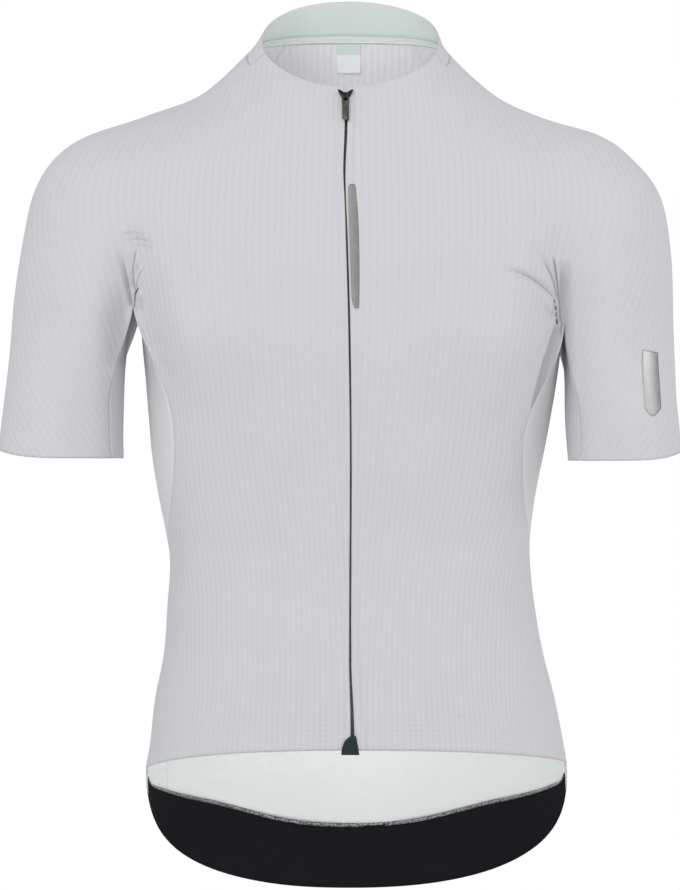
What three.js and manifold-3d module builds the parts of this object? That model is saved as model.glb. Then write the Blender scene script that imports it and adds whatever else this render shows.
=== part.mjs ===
// A short-sleeved cycling jersey, filled out as if worn, with open neck, cuffs and hem.
// Millimetres. X runs to the wearer's left, -Y is the front, Z is up.
// The origin is on the centre plane at the height of the shoulders beside the neck.
import * as THREE from "three";
import { mergeVertices } from "three/addons/utils/BufferGeometryUtils.js";
import Module from "manifold-3d";

const wasm = await Module();
wasm.setup();

const CLOTH = 1.2;
const SEAM_GAP = 0.3;
const LAYER_GAP = 0.3;
const TAPE = 1;
const TRIM = 1;
const ZIP_SLOT = 2.6;

// How many strips each part of a ring is cut into, and how many rows each length has.
const FRONT_STRIPS = 12;
const ARM_STRIPS = 18;
const UNDERARM_STRIPS = 6;
const BACK_STRIPS = 12;
const NECK_ROWS = 3;
const YOKE_ROWS = 14;
const BODY_ROWS = 18;
const BAND_ROWS = 3;
const SLEEVE_ROWS = 8;
const COLLAR_END = 6;

// Rows of a table: its named columns, then the numbers of each row in the same order.
function table(columns, ...rows) {
  const names = columns.split(" ");
  return rows.map((row) => Object.fromEntries(names.map((name, k) => [name, row[k]])));
}

// Rings from the neckline (step 0) through the foot of the collar (step 1) to the armpits (step 8).
// left and right are the half widths on the wearer's left and right, side is the height there,
// notch is how far the armpit fold is pressed in and tilt how far the ring leans to one side.
const RINGS = table("step right left side front frontZ back backZ notch tilt",
  [0, 73, 76, 17, 64, -27.5, 62, 56, 0, 0],
  [1, 86, 85.5, 2.5, 70, -36, 70, 21.5, 0, 0],
  [2, 126, 122, -31, 86, -64, 86, -16, 0, 0],
  [3, 171, 160, -48.5, 98, -91, 100, -46, 0, 0],
  [4, 215, 208.5, -62.5, 106, -117, 109, -76, 0, 0.02],
  [5, 244.4, 238.5, -82, 111, -142, 114, -106, 0.02, 0.1],
  [6, 263, 261, -111, 115, -167, 117, -142, 0.08, 0.3],
  [7, 273.5, 271, -156, 117, -192, 118, -179, 0.2, 0.6],
  [8, 281, 272, -217.5, 118, -217.5, 118, -217.5, 0.36, 1],
);
const LAST_STEP = 8;
const LEAN = 0.042;
const ARMPIT = { right: 178, left: 177.5 };
const NOTCH_REACH = 26;
const ARMPIT_RISE = 10;
const ARMPIT_STANDOFF = 1.2;

// Level sections of the body below the armpits, by depth below the origin.
// frontSeam and backSeam are where the side panel's edges run, in degrees from the centre front.
const BODY = table("drop right left front back frontSeam backSeam",
  [200, 182, 181, 117, 118, 63, 117],
  [242, 176.5, 181, 118, 115, 61, 120],
  [272, 172.2, 176, 116, 111, 59, 122],
  [302, 169, 169.3, 113, 106, 58, 124],
  [333, 165.6, 163.4, 109, 101, 59, 125],
  [373, 158.6, 155.6, 104, 96, 68, 126],
  [403, 153, 152, 101, 93, 82, 125],
  [424, 150.6, 152.6, 100, 93, 89, 124],
  [454, 152.4, 155.8, 100, 96, 91, 123],
  [494, 155.8, 163, 102, 103, 92, 121],
  [534, 162.4, 172.6, 104, 111, 93, 119],
  [575, 167.4, 181, 106, 117, 94, 117],
  [597, 171.5, 184, 107, 119, 94, 116],
  [640, 170.5, 183.5, 108, 121, 94, 116],
  [712, 166, 179, 108, 121, 94, 116],
);
const BODY_ROUNDNESS = 2.25;
const BODY_SIDE_Y = 14;
const BODY_FADE = 95;

// The hem, higher in front, with a drop tail. turn runs from 0 at the sides to 1 at the centre back,
// and height is the rear band's, which narrows to a tip at each side.
const HEM_FRONT = -572;
const HEM_SIDE = { right: -597, left: -592 };
const HEM_BACK = -709;
const HEM_SQUARENESS = 0.7;
const REAR_BAND = table("turn height",
  [0, 5],
  [0.2, 22],
  [0.45, 42],
  [0.75, 58],
  [0.88, 60],
  [1, 55],
);

// Sleeve sections by depth: inner and outer edge from the centre plane, and depth front and back.
const SLEEVES = {
  right: table("drop inner outer front back",
    [200, 179, 280.5, 62, 60],
    [232, 185, 283.9, 58, 58],
    [262, 187.6, 286.6, 55, 56],
    [300, 189, 290.4, 53, 54],
    [336, 189.2, 293.4, 52, 53],
  ),
  left: table("drop inner outer front back",
    [215, 178, 270.5, 62, 58],
    [245, 179.3, 271, 59, 56],
    [272, 180.5, 273, 56, 55],
    [305, 181.2, 275.8, 53, 54],
    [338, 182.4, 277.6, 51, 53],
  ),
};
const SLEEVE_Y = { left: -18, right: -9 };
const SLEEVE_SEAM = { top: 46, cuff: 36 };
const SLEEVE_FADE = 85;
const CUFF_LOW = { left: -336.5, right: -334.5 };
const CUFF_RISE = 7.5;
const CUFF_CURL = 6;

// The closed zip wanders a little to either side on its way down.
const ZIP_LINE = table("drop shift",
  [20, -3.6],
  [60, -2.6],
  [100, -4],
  [150, -2.2],
  [230, 0],
  [330, 1.6],
  [500, 0.8],
  [580, 3.2],
);

const { clamp, lerp, degToRad, smoothstep } = THREE.MathUtils;
const HALF_TURN = 180;

// Every column of a table at one place, on smooth curves through its rows.
function follow(table, key, at) {
  const last = table.length - 1;
  const held = clamp(at, table[0][key], table[last][key]);
  let low = 0;
  while (low < last - 1 && table[low + 1][key] < held) low += 1;
  const span = table[low + 1][key] - table[low][key];
  const part = (held - table[low][key]) / span;
  const found = {};
  for (const name of Object.keys(table[0])) {
    const slope = (k) => {
      const before = table[Math.max(k - 1, 0)];
      const after = table[Math.min(k + 1, last)];
      return (after[name] - before[name]) / (after[key] - before[key]);
    };
    const start = table[low][name];
    const end = table[low + 1][name];
    const bend = (1 - part) * slope(low) - part * slope(low + 1) + (2 * part - 1) * ((end - start) / span);
    found[name] = lerp(start, end, part) + part * (1 - part) * span * bend;
  }
  return found;
}

// A corner-softened oval: how far across and how far forward its point is at an angle.
function oval(angle, roundness) {
  const across = Math.pow(Math.abs(Math.sin(degToRad(angle))), 2 / roundness);
  const forward = Math.pow(Math.abs(Math.cos(degToRad(angle))), 2 / roundness);
  return { across, forward };
}

// The zip slot's half width and its wander fade away from the centre front.
const WANDER_SHARPNESS = 12;
function slotEdge(z, angle) {
  const near = (1 + Math.cos(degToRad(angle))) / 2;
  const { shift } = follow(ZIP_LINE, "drop", -z);
  return { half: (ZIP_SLOT / 2) * near, wander: shift * Math.pow(near, WANDER_SHARPNESS) };
}

const sideSign = { left: 1, right: -1 };

// The angle from the centre front, when part counts 1 at the first seam, 2 at the second and 3 behind.
function splitAngle(part, first, second) {
  if (part < 1) return part * first;
  if (part < 2) return lerp(first, second, part - 1);
  return lerp(second, HALF_TURN, part - 2);
}

// A point of the yoke. part is 0 to 1 over the front, 1 to 2 over the arm and 2 to 3 over the back.
function yokePoint(side, part, step) {
  const ring = follow(RINGS, "step", step);
  const fold = (Math.asin(ARMPIT[side] / RINGS[LAST_STEP][side]) * HALF_TURN) / Math.PI;
  const angle = splitAngle(part, fold, HALF_TURN - fold);
  const turn = Math.cos(degToRad(angle));
  const lengthways = (ring.frontZ - ring.backZ) / 2;
  const crown = (ring.frontZ + ring.backZ) / 2 - ring.side;
  const height = ring.side + lengthways * turn + crown * turn * turn;
  const { half, wander } = slotEdge(height, angle);
  const across = half + (ring[side] - half) * Math.abs(Math.sin(degToRad(angle)));
  const pressed = 1 - ring.notch * Math.exp(-Math.pow((across - ARMPIT[side]) / NOTCH_REACH, 2));
  const forward = -turn * (turn > 0 ? ring.front : ring.back) * pressed;
  const x = sideSign[side] * across;
  return new THREE.Vector3(x + wander, forward, height - LEAN * ring.tilt * x);
}

// The seam under the arm, from the front fold (part 0) to the back fold (part 1).
// The two walls that meet here face each other, so each stands back from the seam.
function armpitPoint(side, part, away) {
  const from = yokePoint(side, 1, LAST_STEP);
  const to = yokePoint(side, 2, LAST_STEP);
  const arch = Math.sin(Math.PI * part);
  const point = from.clone().lerp(to, part);
  point.x += sideSign[side] * away * ARMPIT_STANDOFF * Math.sqrt(arch);
  point.z += ARMPIT_RISE * arch;
  return point;
}

// The ring where the yoke ends, as the body sees it: front, under the arm, back.
function bodyTop(side, part) {
  if (part < 1) return yokePoint(side, part, LAST_STEP);
  if (part <= 2) return armpitPoint(side, part - 1, -1);
  return yokePoint(side, part, LAST_STEP);
}

function bodySection(side, part, z) {
  const section = follow(BODY, "drop", -z);
  const angle = splitAngle(part, section.frontSeam, section.backSeam);
  const { half, wander } = slotEdge(z, angle);
  const { across, forward } = oval(angle, BODY_ROUNDNESS);
  const x = sideSign[side] * (half + (section[side] - half) * across) + wander;
  const depth = angle < HALF_TURN / 2 ? -section.front - BODY_SIDE_Y : section.back - BODY_SIDE_Y;
  return new THREE.Vector3(x, depth * forward + BODY_SIDE_Y, z);
}

// Heights of the hem and of the line a band's height above it.
function hemLines(side, part) {
  const section = follow(BODY, "drop", -HEM_SIDE[side]);
  const angle = splitAngle(part, section.frontSeam, section.backSeam);
  const behind = angle > HALF_TURN / 2;
  const { forward } = oval(angle, BODY_ROUNDNESS);
  const reach = behind ? Math.pow(forward, HEM_SQUARENESS) : Math.cos(degToRad(angle));
  const hem = lerp(HEM_SIDE[side], behind ? HEM_BACK : HEM_FRONT, reach);
  return { hem, bandTop: hem + follow(REAR_BAND, "turn", forward).height };
}

// A point of the body. row counts from 0 at the armpits to 1 at the band's top and 2 at the hem.
function bodyPoint(side, part, row) {
  const top = bodyTop(side, part);
  const { hem, bandTop } = hemLines(side, part);
  const z = row < 1 ? lerp(top.z, bandTop, row) : lerp(bandTop, hem, row - 1);
  const shift = top.clone().sub(bodySection(side, part, top.z));
  return bodySection(side, part, z).addScaledVector(shift, smoothstep(z, top.z - BODY_FADE, top.z));
}

// The ring where a sleeve starts. part is 1 to 2 over the arm and 2 to 3 back under it.
function sleeveTop(side, part) {
  return part <= 2 ? yokePoint(side, part, LAST_STEP) : armpitPoint(side, 3 - part, 1);
}

function sleeveSection(side, part, z, along) {
  const section = follow(SLEEVES[side], "drop", -z);
  const seam = lerp(SLEEVE_SEAM.top, SLEEVE_SEAM.cuff, along);
  const angle = part <= 2 ? lerp(seam, 2 * HALF_TURN - seam, part - 1) : lerp(-seam, seam, part - 2);
  const middle = (section.inner + section.outer) / 2;
  const half = (section.outer - section.inner) / 2;
  const outward = -Math.cos(degToRad(angle));
  const forward = Math.sin(degToRad(angle));
  const depth = forward > 0 ? section.front : section.back;
  return new THREE.Vector3(sideSign[side] * (middle + half * outward), SLEEVE_Y[side] - depth * forward, z);
}

// A point of a sleeve, from the yoke (row 0) to the cuff (row 1).
function sleevePoint(side, part, row) {
  const top = sleeveTop(side, part);
  const cuff = sleeveSection(side, part, CUFF_LOW[side], 1);
  const section = SLEEVES[side][SLEEVES[side].length - 1];
  const outward = (Math.abs(cuff.x) - section.inner) / (section.outer - section.inner);
  const low = CUFF_LOW[side] + CUFF_RISE * Math.pow(outward, CUFF_CURL);
  const z = lerp(top.z, low, row);
  const shift = top.clone().sub(sleeveSection(side, part, top.z, 0));
  return sleeveSection(side, part, z, row).addScaledVector(shift, smoothstep(z, top.z - SLEEVE_FADE, top.z));
}

function steps(from, to, count) {
  return Array.from({ length: count + 1 }, (_, k) => lerp(from, to, k / count));
}

// A grid of points, rows downwards and columns away from the centre front.
function grid(side, place, parts, rows) {
  return { side, points: rows.map((row) => parts.map((part) => place(side, part, row))) };
}

const COLUMNS = {
  front: steps(0, 1, FRONT_STRIPS),
  arm: steps(1, 2, ARM_STRIPS),
  under: steps(1, 2, UNDERARM_STRIPS),
  back: steps(2, 3, BACK_STRIPS),
};
const ROWS = {
  neck: steps(0, 1, NECK_ROWS),
  yoke: steps(1, LAST_STEP, YOKE_ROWS),
  body: steps(0, 1, BODY_ROWS),
  band: steps(1, 2, BAND_ROWS),
  sleeve: steps(0, 1, SLEEVE_ROWS),
};
const ROUND = 1e4;
const SLIVER = 0.03;

// One surface from grids that share edges: its points, its faces and a normal at each point.
// Faces of the grids beside it only turn the normals along the seams, so that both walls meet evenly.
function surface(grids, beside = []) {
  const points = [];
  const known = new Map();
  const indexOf = (point) => {
    const key = point.toArray().map((value) => Math.round(value * ROUND)).join();
    if (!known.has(key)) {
      known.set(key, points.length);
      points.push(point);
    }
    return known.get(key);
  };
  const facesOf = ({ side, points: rows }) => {
    const faces = [];
    for (let r = 0; r < rows.length - 1; r += 1) {
      for (let c = 0; c < rows[r].length - 1; c += 1) {
        const ring = [rows[r][c], rows[r][c + 1], rows[r + 1][c + 1], rows[r + 1][c]].map(indexOf);
        faces.push(side === "right" ? ring : ring.reverse());
      }
    }
    return faces;
  };
  const faces = grids.flatMap(facesOf);
  const count = points.length;
  const all = faces.concat(beside.flatMap(facesOf));
  const normals = points.map(() => new THREE.Vector3());
  for (const face of all) {
    const [a, b, c, d] = face.map((k) => points[k]);
    const normal = c.clone().sub(a).cross(d.clone().sub(b));
    for (const k of face) normals[k].add(normal);
  }
  for (const normal of normals) normal.normalize();
  return { points: points.slice(0, count), faces, normals, indexOf };
}

// Edges that belong to one face only, each with the way into the surface from it.
function openEdges({ points, faces, normals }) {
  const seen = new Map();
  for (const face of faces) {
    face.forEach((a, k) => {
      const b = face[(k + 1) % face.length];
      const twin = b + "," + a;
      if (seen.has(twin)) seen.delete(twin);
      else seen.set(a + "," + b, { a, b });
    });
  }
  return [...seen.values()].map(({ a, b }) => {
    const along = points[b].clone().sub(points[a]).normalize();
    const inward = normals[a].clone().add(normals[b]).cross(along).normalize();
    return { a, b, inward };
  });
}

// The closed solid between two distances out from a surface.
function thicken({ points, faces, normals }, edges, outer, inner) {
  const count = points.length;
  const positions = new Float32Array(count * 6);
  points.forEach((point, k) => {
    point.clone().addScaledVector(normals[k], outer).toArray(positions, k * 3);
    point.clone().addScaledVector(normals[k], inner).toArray(positions, (count + k) * 3);
  });
  const index = [];
  for (const [a, b, c, d] of faces) {
    index.push(a, b, c, a, c, d);
    index.push(count + a, count + c, count + b, count + a, count + d, count + c);
  }
  for (const { a, b } of edges) index.push(a, count + a, count + b, a, count + b, b);
  const geometry = new THREE.BufferGeometry();
  geometry.setAttribute("position", new THREE.BufferAttribute(positions, 3));
  geometry.setIndex(index);
  return geometry;
}

// A cloth wall inwards from a surface, its edges drawn in by half a seam gap.
// grown is how far the wall is thickened each way, to cut its room out of another.
const LEAST_CORNER_SHARE = 0.5;
function wall(grids, beside, grown = 0) {
  const sheet = surface(grids, beside);
  const edges = openEdges(sheet);
  const ways = new Map();
  for (const { a, b, inward } of edges) {
    for (const k of [a, b]) ways.set(k, [...(ways.get(k) || []), inward]);
  }
  for (const [k, inwards] of ways) {
    const way = inwards.reduce((sum, inward) => sum.add(inward), new THREE.Vector3()).normalize();
    const share = Math.max(way.dot(inwards[0]), LEAST_CORNER_SHARE);
    sheet.points[k] = sheet.points[k].clone().addScaledVector(way, (SEAM_GAP / 2 - grown) / share);
  }
  return thicken(sheet, edges, grown, -CLOTH - grown);
}

function solidOf(geometry) {
  const mesh = new wasm.Mesh({
    numProp: 3,
    vertProperties: geometry.getAttribute("position").array,
    triVerts: new Uint32Array(geometry.index.array),
  });
  return new wasm.Manifold(mesh);
}

function geometryOf(solid) {
  const mesh = solid.getMesh();
  const geometry = new THREE.BufferGeometry();
  geometry.setAttribute("position", new THREE.BufferAttribute(mesh.vertProperties, 3));
  geometry.setIndex(new THREE.BufferAttribute(mesh.triVerts, 1));
  return geometry;
}

// A wall without the room that its neighbours need, as its one main body, with no sliver faces.
function clearOf(geometry, neighbours) {
  const cut = neighbours.reduce((solid, other) => solid.subtract(solidOf(other)), solidOf(geometry));
  const main = cut.decompose().sort((a, b) => b.volume() - a.volume())[0];
  return geometryOf(main.asOriginal().simplify(SLIVER));
}

// A panel's points down its whole length, from the neckline to the hem, with a normal at each.
function panelBase(side, parts) {
  const rows = [
    ...grid(side, yokePoint, parts, ROWS.neck).points,
    ...grid(side, yokePoint, parts, ROWS.yoke).points.slice(1),
    ...grid(side, bodyPoint, parts, ROWS.body).points.slice(1),
    ...grid(side, bodyPoint, parts, ROWS.band).points.slice(1),
  ];
  return withNormals({ side, points: rows });
}

function withNormals(base) {
  const { normals, indexOf } = surface([base]);
  return { ...base, normals: base.points.map((row) => row.map((point) => normals[indexOf(point)])) };
}

// A place on a base's faces, by row and column number with fractions.
function spot(base, row, column) {
  const r = clamp(Math.floor(row), 0, base.points.length - 2);
  const c = clamp(Math.floor(column), 0, base.points[0].length - 2);
  const blend = (table) => {
    const upper = table[r][c].clone().lerp(table[r][c + 1], column - c);
    const lower = table[r + 1][c].clone().lerp(table[r + 1][c + 1], column - c);
    return upper.lerp(lower, row - r);
  };
  return { point: blend(base.points), normal: blend(base.normals).normalize() };
}

// Where a list of values first passes a wanted one, as a position with its fraction, or else its end.
function crossing(values, wanted) {
  const k = values.findIndex((value, n) => n > 0 && (value - wanted) * (values[n - 1] - wanted) <= 0);
  if (k > 0) return k - 1 + (wanted - values[k - 1]) / (values[k] - values[k - 1]);
  const last = values.length - 1;
  return Math.abs(values[0] - wanted) < Math.abs(values[last] - wanted) ? 0 : last;
}

// The place on a base with this x and z, found by turns along its columns and rows.
const LOCATE_TURNS = 6;
function locate(base, x, z) {
  let row = 0;
  let column = 0;
  for (let turn = 0; turn < LOCATE_TURNS; turn += 1) {
    row = crossing(base.points.map((_, r) => spot(base, r, column).point.z), z);
    column = crossing(base.points[0].map((_, c) => spot(base, row, c).point.x), x);
  }
  return { row, column };
}

// A thin solid on a panel, over rows of places on it, between two distances out from it.
function laid(side, rows, outer, inner) {
  const points = rows.map((row) => row.map(({ point }) => point));
  const normals = rows.flatMap((row) => row.map(({ normal }) => normal));
  const sheet = surface([{ side, points }]);
  const order = points.flat().map((point) => sheet.indexOf(point));
  const turned = [];
  order.forEach((k, n) => {
    turned[k] = normals[n];
  });
  return thicken({ ...sheet, normals: turned }, openEdges(sheet), outer, inner);
}

const material = (name, color, roughness, metalness = 0) =>
  new THREE.MeshStandardMaterial({ name, color, roughness, metalness });
const MATERIALS = {
  cloth: material("ribbed_cloth", 0xcfced4, 0.85),
  band: material("elastic_band", 0x1e1c22, 0.8),
  tape: material("zip_tape", 0xc9c8ce, 0.85),
  chain: material("zip_chain", 0x5a5c54, 0.5),
  metal: material("gunmetal", 0x464640, 0.35, 1),
  garage: material("zip_garage", 0x263234, 0.6),
  reflective: material("reflective_film", 0x969894, 0.4),
  label: material("label_cloth", 0xe6ebe8, 0.8),
};

const jersey = new THREE.Group();
jersey.name = "cycling_jersey";

function add(name, geometry, slot) {
  const mesh = new THREE.Mesh(geometry, MATERIALS[slot]);
  mesh.name = name;
  jersey.add(mesh);
  return mesh;
}

const SIDES = ["right", "left"];

// The panels. Each front is cut in one with its sleeve, as far as the seam behind the arm.
const frontColumns = [...COLUMNS.front, ...COLUMNS.arm.slice(1, COLLAR_END + 1)];
const collarColumns = [...COLUMNS.arm.slice(COLLAR_END), ...COLUMNS.back.slice(1)];
const bandColumns = [...COLUMNS.under, ...COLUMNS.back.slice(1)];
const bodyRows = [...ROWS.body, ...ROWS.band.slice(1)];
const sleeveUnder = COLUMNS.under.map((part) => part + 1);
const pieces = (side) => ({
  front: [
    grid(side, yokePoint, frontColumns, ROWS.neck),
    grid(side, yokePoint, [...COLUMNS.front, ...COLUMNS.arm.slice(1)], ROWS.yoke),
    grid(side, bodyPoint, COLUMNS.front, bodyRows),
    grid(side, sleevePoint, COLUMNS.arm, ROWS.sleeve),
  ],
  underarm: [grid(side, sleevePoint, sleeveUnder, ROWS.sleeve)],
  side: [grid(side, bodyPoint, COLUMNS.under, ROWS.body)],
  back: [grid(side, yokePoint, COLUMNS.back, ROWS.yoke), grid(side, bodyPoint, COLUMNS.back, ROWS.body)],
  collar: [grid(side, yokePoint, collarColumns, ROWS.neck)],
  band: [grid(side, bodyPoint, bandColumns, ROWS.band)],
});
const halves = { right: pieces("right"), left: pieces("left") };
for (const side of SIDES) {
  const { front, underarm, side: flank, back, collar, band } = halves[side];
  const besideFront = [...underarm, ...flank, ...back, ...collar, ...band];
  const besideSide = [...front, ...back, ...band];
  const frontRoom = wall(front, besideFront, SEAM_GAP);
  const sideRoom = wall(flank, besideSide, SEAM_GAP);
  add("front_" + side, wall(front, besideFront), "cloth");
  const backRoom = wall(back, [...flank, ...front], SEAM_GAP);
  add("side_" + side, clearOf(wall(flank, besideSide), [frontRoom, backRoom]), "cloth");
  add("underarm_" + side, clearOf(wall(underarm, front), [frontRoom, sideRoom]), "cloth");
}
const joined = (name) => SIDES.flatMap((side) => halves[side][name]);
const besideBack = ["front", "side", "collar", "band"].flatMap(joined);
add("back", wall(joined("back"), besideBack), "cloth");
add("collar", wall(joined("collar"), ["front", "back"].flatMap(joined)), "cloth");
add("back_hem_band", wall(joined("band"), ["front", "side", "back"].flatMap(joined)), "band");

// The zip: a tape behind each front's edge and the closed chain between the two.
const ZIP = { tape: 11, chain: 2, chainFront: -0.2, chainBack: -2.4, top: -46, garageGap: 0.5 };
const fronts = { right: panelBase("right", COLUMNS.front), left: panelBase("left", COLUMNS.front) };
const behindCloth = -CLOTH - LAYER_GAP;
for (const side of SIDES) {
  const base = fronts[side];
  const across = [0, ZIP.tape / 2, ZIP.tape];
  const rows = base.points.map((points, row) => {
    const away = points.map((point) => Math.abs(point.x - points[0].x));
    return across.map((distance) => spot(base, row, crossing(away, distance)));
  });
  add("zip_tape_" + side, laid(side, rows, behindCloth, behindCloth - TAPE), "tape");
}

// A place on the zip's centre line at a height, half way between the two fronts' edges.
function zipPlace(z) {
  const [right, left] = SIDES.map((side) => {
    const row = crossing(fronts[side].points.map((points) => points[0].z), z);
    return spot(fronts[side], row, 0);
  });
  const point = right.point.clone().lerp(left.point, 0.5);
  const normal = right.normal.clone().add(left.normal).setX(0).normalize();
  return { point, normal };
}

const TRIM_STEP = 12;
const heights = (top, bottom) => steps(top, bottom, Math.ceil((top - bottom) / TRIM_STEP));
const chainRows = heights(ZIP.top, HEM_FRONT + ZIP.garageGap).map((z) => {
  const { point, normal } = zipPlace(z);
  const edge = (share) => ({ point: point.clone().setX(point.x + share * ZIP.chain), normal });
  return [edge(0.5), edge(-0.5)];
});
add("zip_chain", laid("right", chainRows, ZIP.chainFront, ZIP.chainBack), "chain");

// A part that stands on the zip's line: its own X is across, Z up the zip and -Y out from the cloth.
function onZip(z, geometry, name, slot) {
  const { point, normal } = zipPlace(z);
  const across = new THREE.Vector3(1, 0, 0);
  const up = across.clone().cross(normal.clone().negate());
  const axes = new THREE.Matrix4().makeBasis(across, normal.clone().negate(), up).setPosition(point);
  return add(name, geometry.applyMatrix4(axes), slot);
}

// A flat plate from an outline across and up the zip, between two distances out from the cloth.
function plate(outline, outer, inner, hole) {
  const shape = new THREE.Shape(outline.map(([x, z]) => new THREE.Vector2(x, z)));
  if (hole) shape.holes.push(new THREE.Path(hole.map(([x, z]) => new THREE.Vector2(x, z))));
  const geometry = new THREE.ExtrudeGeometry(shape, { depth: outer - inner, bevelEnabled: false });
  return geometry.rotateX(Math.PI / 2).translate(0, -inner, 0);
}

function merged(geometry) {
  const bare = new THREE.BufferGeometry().setAttribute("position", geometry.getAttribute("position"));
  return mergeVertices(bare);
}

// The slider: a forked front plate, a neck through the slot, a plate behind the tapes and an arch.
const SLIDER = {
  z: -38.1,
  length: 15,
  fork: 6.6,
  waist: 2.9,
  waistUp: -1,
  notch: 3.8,
  front: 1.6,
  lift: 0.4,
  neck: 0.8,
};
const ARCH = { wide: 1.6, reach: 4.3, foot: 3.2, holeReach: 3.4, holeTop: 1.6 };
const half = SLIDER.length / 2;
const forkPlate = plate([
  [-SLIDER.waist, -half],
  [SLIDER.waist, -half],
  [SLIDER.waist, SLIDER.waistUp],
  [SLIDER.fork, half],
  [SLIDER.fork - SLIDER.notch / 2, half],
  [0, half - SLIDER.notch],
  [SLIDER.notch / 2 - SLIDER.fork, half],
  [-SLIDER.fork, half],
  [-SLIDER.waist, SLIDER.waistUp],
], SLIDER.front, SLIDER.lift);
const box = (wide, low, high, outer, inner) =>
  plate([[-wide, low], [wide, low], [wide, high], [-wide, high]], outer, inner);
const behindTape = behindCloth - TAPE - LAYER_GAP;
const sliderSolids = [
  forkPlate,
  box(SLIDER.neck, -half, half - SLIDER.notch, SLIDER.front, behindTape - TRIM),
  box(SLIDER.waist, -half, half - SLIDER.notch, behindTape, behindTape - TRIM),
  box(ARCH.wide / 2, -ARCH.foot, ARCH.foot, ARCH.reach, SLIDER.front - LAYER_GAP),
].map((geometry) => solidOf(merged(geometry)));
const archHole = solidOf(merged(box(ARCH.wide, -ARCH.holeTop, ARCH.holeTop, ARCH.holeReach, SLIDER.front)));
onZip(SLIDER.z, geometryOf(wasm.Manifold.union(sliderSolids).subtract(archHole)), "zip_slider", "metal");

// The pull: a flat tab whose bar lies in the arch, round the arch's foot, with one slanted corner.
// It turns about the bar's middle, at pivotOut from the cloth and pivotUp from the slider's middle.
const PULL = {
  wide: 2.8,
  length: 24,
  slant: 3.1,
  slantRise: 2.2,
  pivotOut: 2.4,
  pivotUp: -0.6,
  bar: 0.5,
  eye: 1.4,
  eyeLength: 3.4,
};
const barTop = PULL.pivotUp + PULL.bar;
const barLow = PULL.pivotUp - PULL.bar;
const pullLow = barTop - PULL.length;
onZip(SLIDER.z, merged(plate([
  [-PULL.wide, pullLow + PULL.slantRise],
  [PULL.slant - PULL.wide, pullLow],
  [PULL.wide, pullLow],
  [PULL.wide, barTop],
  [-PULL.wide, barTop],
], PULL.pivotOut + PULL.bar, PULL.pivotOut - PULL.bar, [
  [-PULL.eye, barLow],
  [PULL.eye, barLow],
  [PULL.eye, barLow - PULL.eyeLength],
  [-PULL.eye, barLow - PULL.eyeLength],
])), "zip_pull", "metal");

// The garage over the zip's foot, round on one side and slanted on the other.
const GARAGE = {
  z: -568.5,
  high: 8.4,
  low: -7,
  left: 5.5,
  slantTop: 2.6,
  round: 9.4,
  segments: 8,
  lift: 0.5,
};
const corner = steps(0, Math.PI / 2, GARAGE.segments).map((turn) => [
  -GARAGE.round * Math.cos(turn),
  GARAGE.low + (GARAGE.high - GARAGE.low) * Math.sin(turn),
]);
onZip(GARAGE.z, merged(plate([
  ...corner,
  [GARAGE.slantTop, GARAGE.high],
  [GARAGE.left, GARAGE.low],
].reverse(), GARAGE.lift + TRIM, GARAGE.lift)), "zip_garage", "garage");

// A strip or tab laid on a panel: its left and right edges at each height, in columns and rows.
function patch(base, edges, { columns, rows }, outer, inner) {
  const places = steps(0, edges.length - 1, rows).map((at) => {
    const k = Math.min(Math.floor(at), edges.length - 2);
    const edge = (name) => lerp(edges[k][name], edges[k + 1][name], at - k);
    return steps(0, 1, columns).map((share) => {
      const z = lerp(edge("z"), edge("z"), share) - edge("point") * (1 - Math.abs(2 * share - 1));
      const { row, column } = locate(base, lerp(edge("from"), edge("to"), share), z);
      return spot(base, row, column);
    });
  });
  return laid(base.side, places, outer, inner);
}

// The strip beside the zip and the tab on the left sleeve, both plain. point is how far the middle dips.
const TAB_LIFT = 0.5;
const STRIP_CELLS = { columns: 1, rows: 8 };
const TAB_CELLS = { columns: 6, rows: 6 };
const STRIP = table("z from to point",
  [-112, -0.9, 4.9, 0],
  [-160, 0.2, 7.9, 0],
  [-212.5, 2.1, 7.8, 0],
);
const TAB = table("z from to point",
  [-244.5, 242.6, 256.6, 0],
  [-293, 243.2, 257.4, 9],
);
add("reflective_strip", patch(fronts.left, STRIP, STRIP_CELLS, LAYER_GAP + TRIM, LAYER_GAP), "reflective");
const sleeveBase = withNormals(grid("left", sleevePoint, COLUMNS.arm, ROWS.sleeve));
add("sleeve_tab", patch(sleeveBase, TAB, TAB_CELLS, TAB_LIFT + TRIM, TAB_LIFT), "reflective");

// The rear pockets and the neck label lie on the back. mouth is how far a pocket's top stands off.
const backs = { right: panelBase("right", COLUMNS.back), left: panelBase("left", COLUMNS.back) };
const POCKET = { topRow: 27, rows: 7, outer: 1, seam: 7, gap: 0.02, mouth: 3 };
function pocket(places) {
  const rows = steps(0, POCKET.rows, POCKET.rows).map((r) =>
    places.map(({ side, column }, c) => {
      const { point, normal } = spot(backs[side], POCKET.topRow + r, column);
      const open = Math.pow(1 - r / POCKET.rows, 2) * Math.sin((Math.PI * c) / (places.length - 1));
      return { point: point.addScaledVector(normal, POCKET.mouth * open), normal };
    }));
  return laid("right", rows, LAYER_GAP + CLOTH, LAYER_GAP);
}
const strips = (from, to) => steps(from, to, to - from);
const outerStrips = [...strips(POCKET.outer, POCKET.seam - 1), POCKET.seam - POCKET.gap];
const innerStrips = [POCKET.seam + POCKET.gap, ...strips(POCKET.seam + 1, BACK_STRIPS)];
const onSide = (side) => (column) => ({ side, column });
add("pocket_right", pocket(outerStrips.map(onSide("right"))), "cloth");
add("pocket_left", pocket([...outerStrips].reverse().map(onSide("left"))), "cloth");
add("pocket_centre", pocket([
  ...innerStrips.map(onSide("right")),
  ...innerStrips.slice(0, -1).reverse().map(onSide("left")),
]), "cloth");

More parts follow.
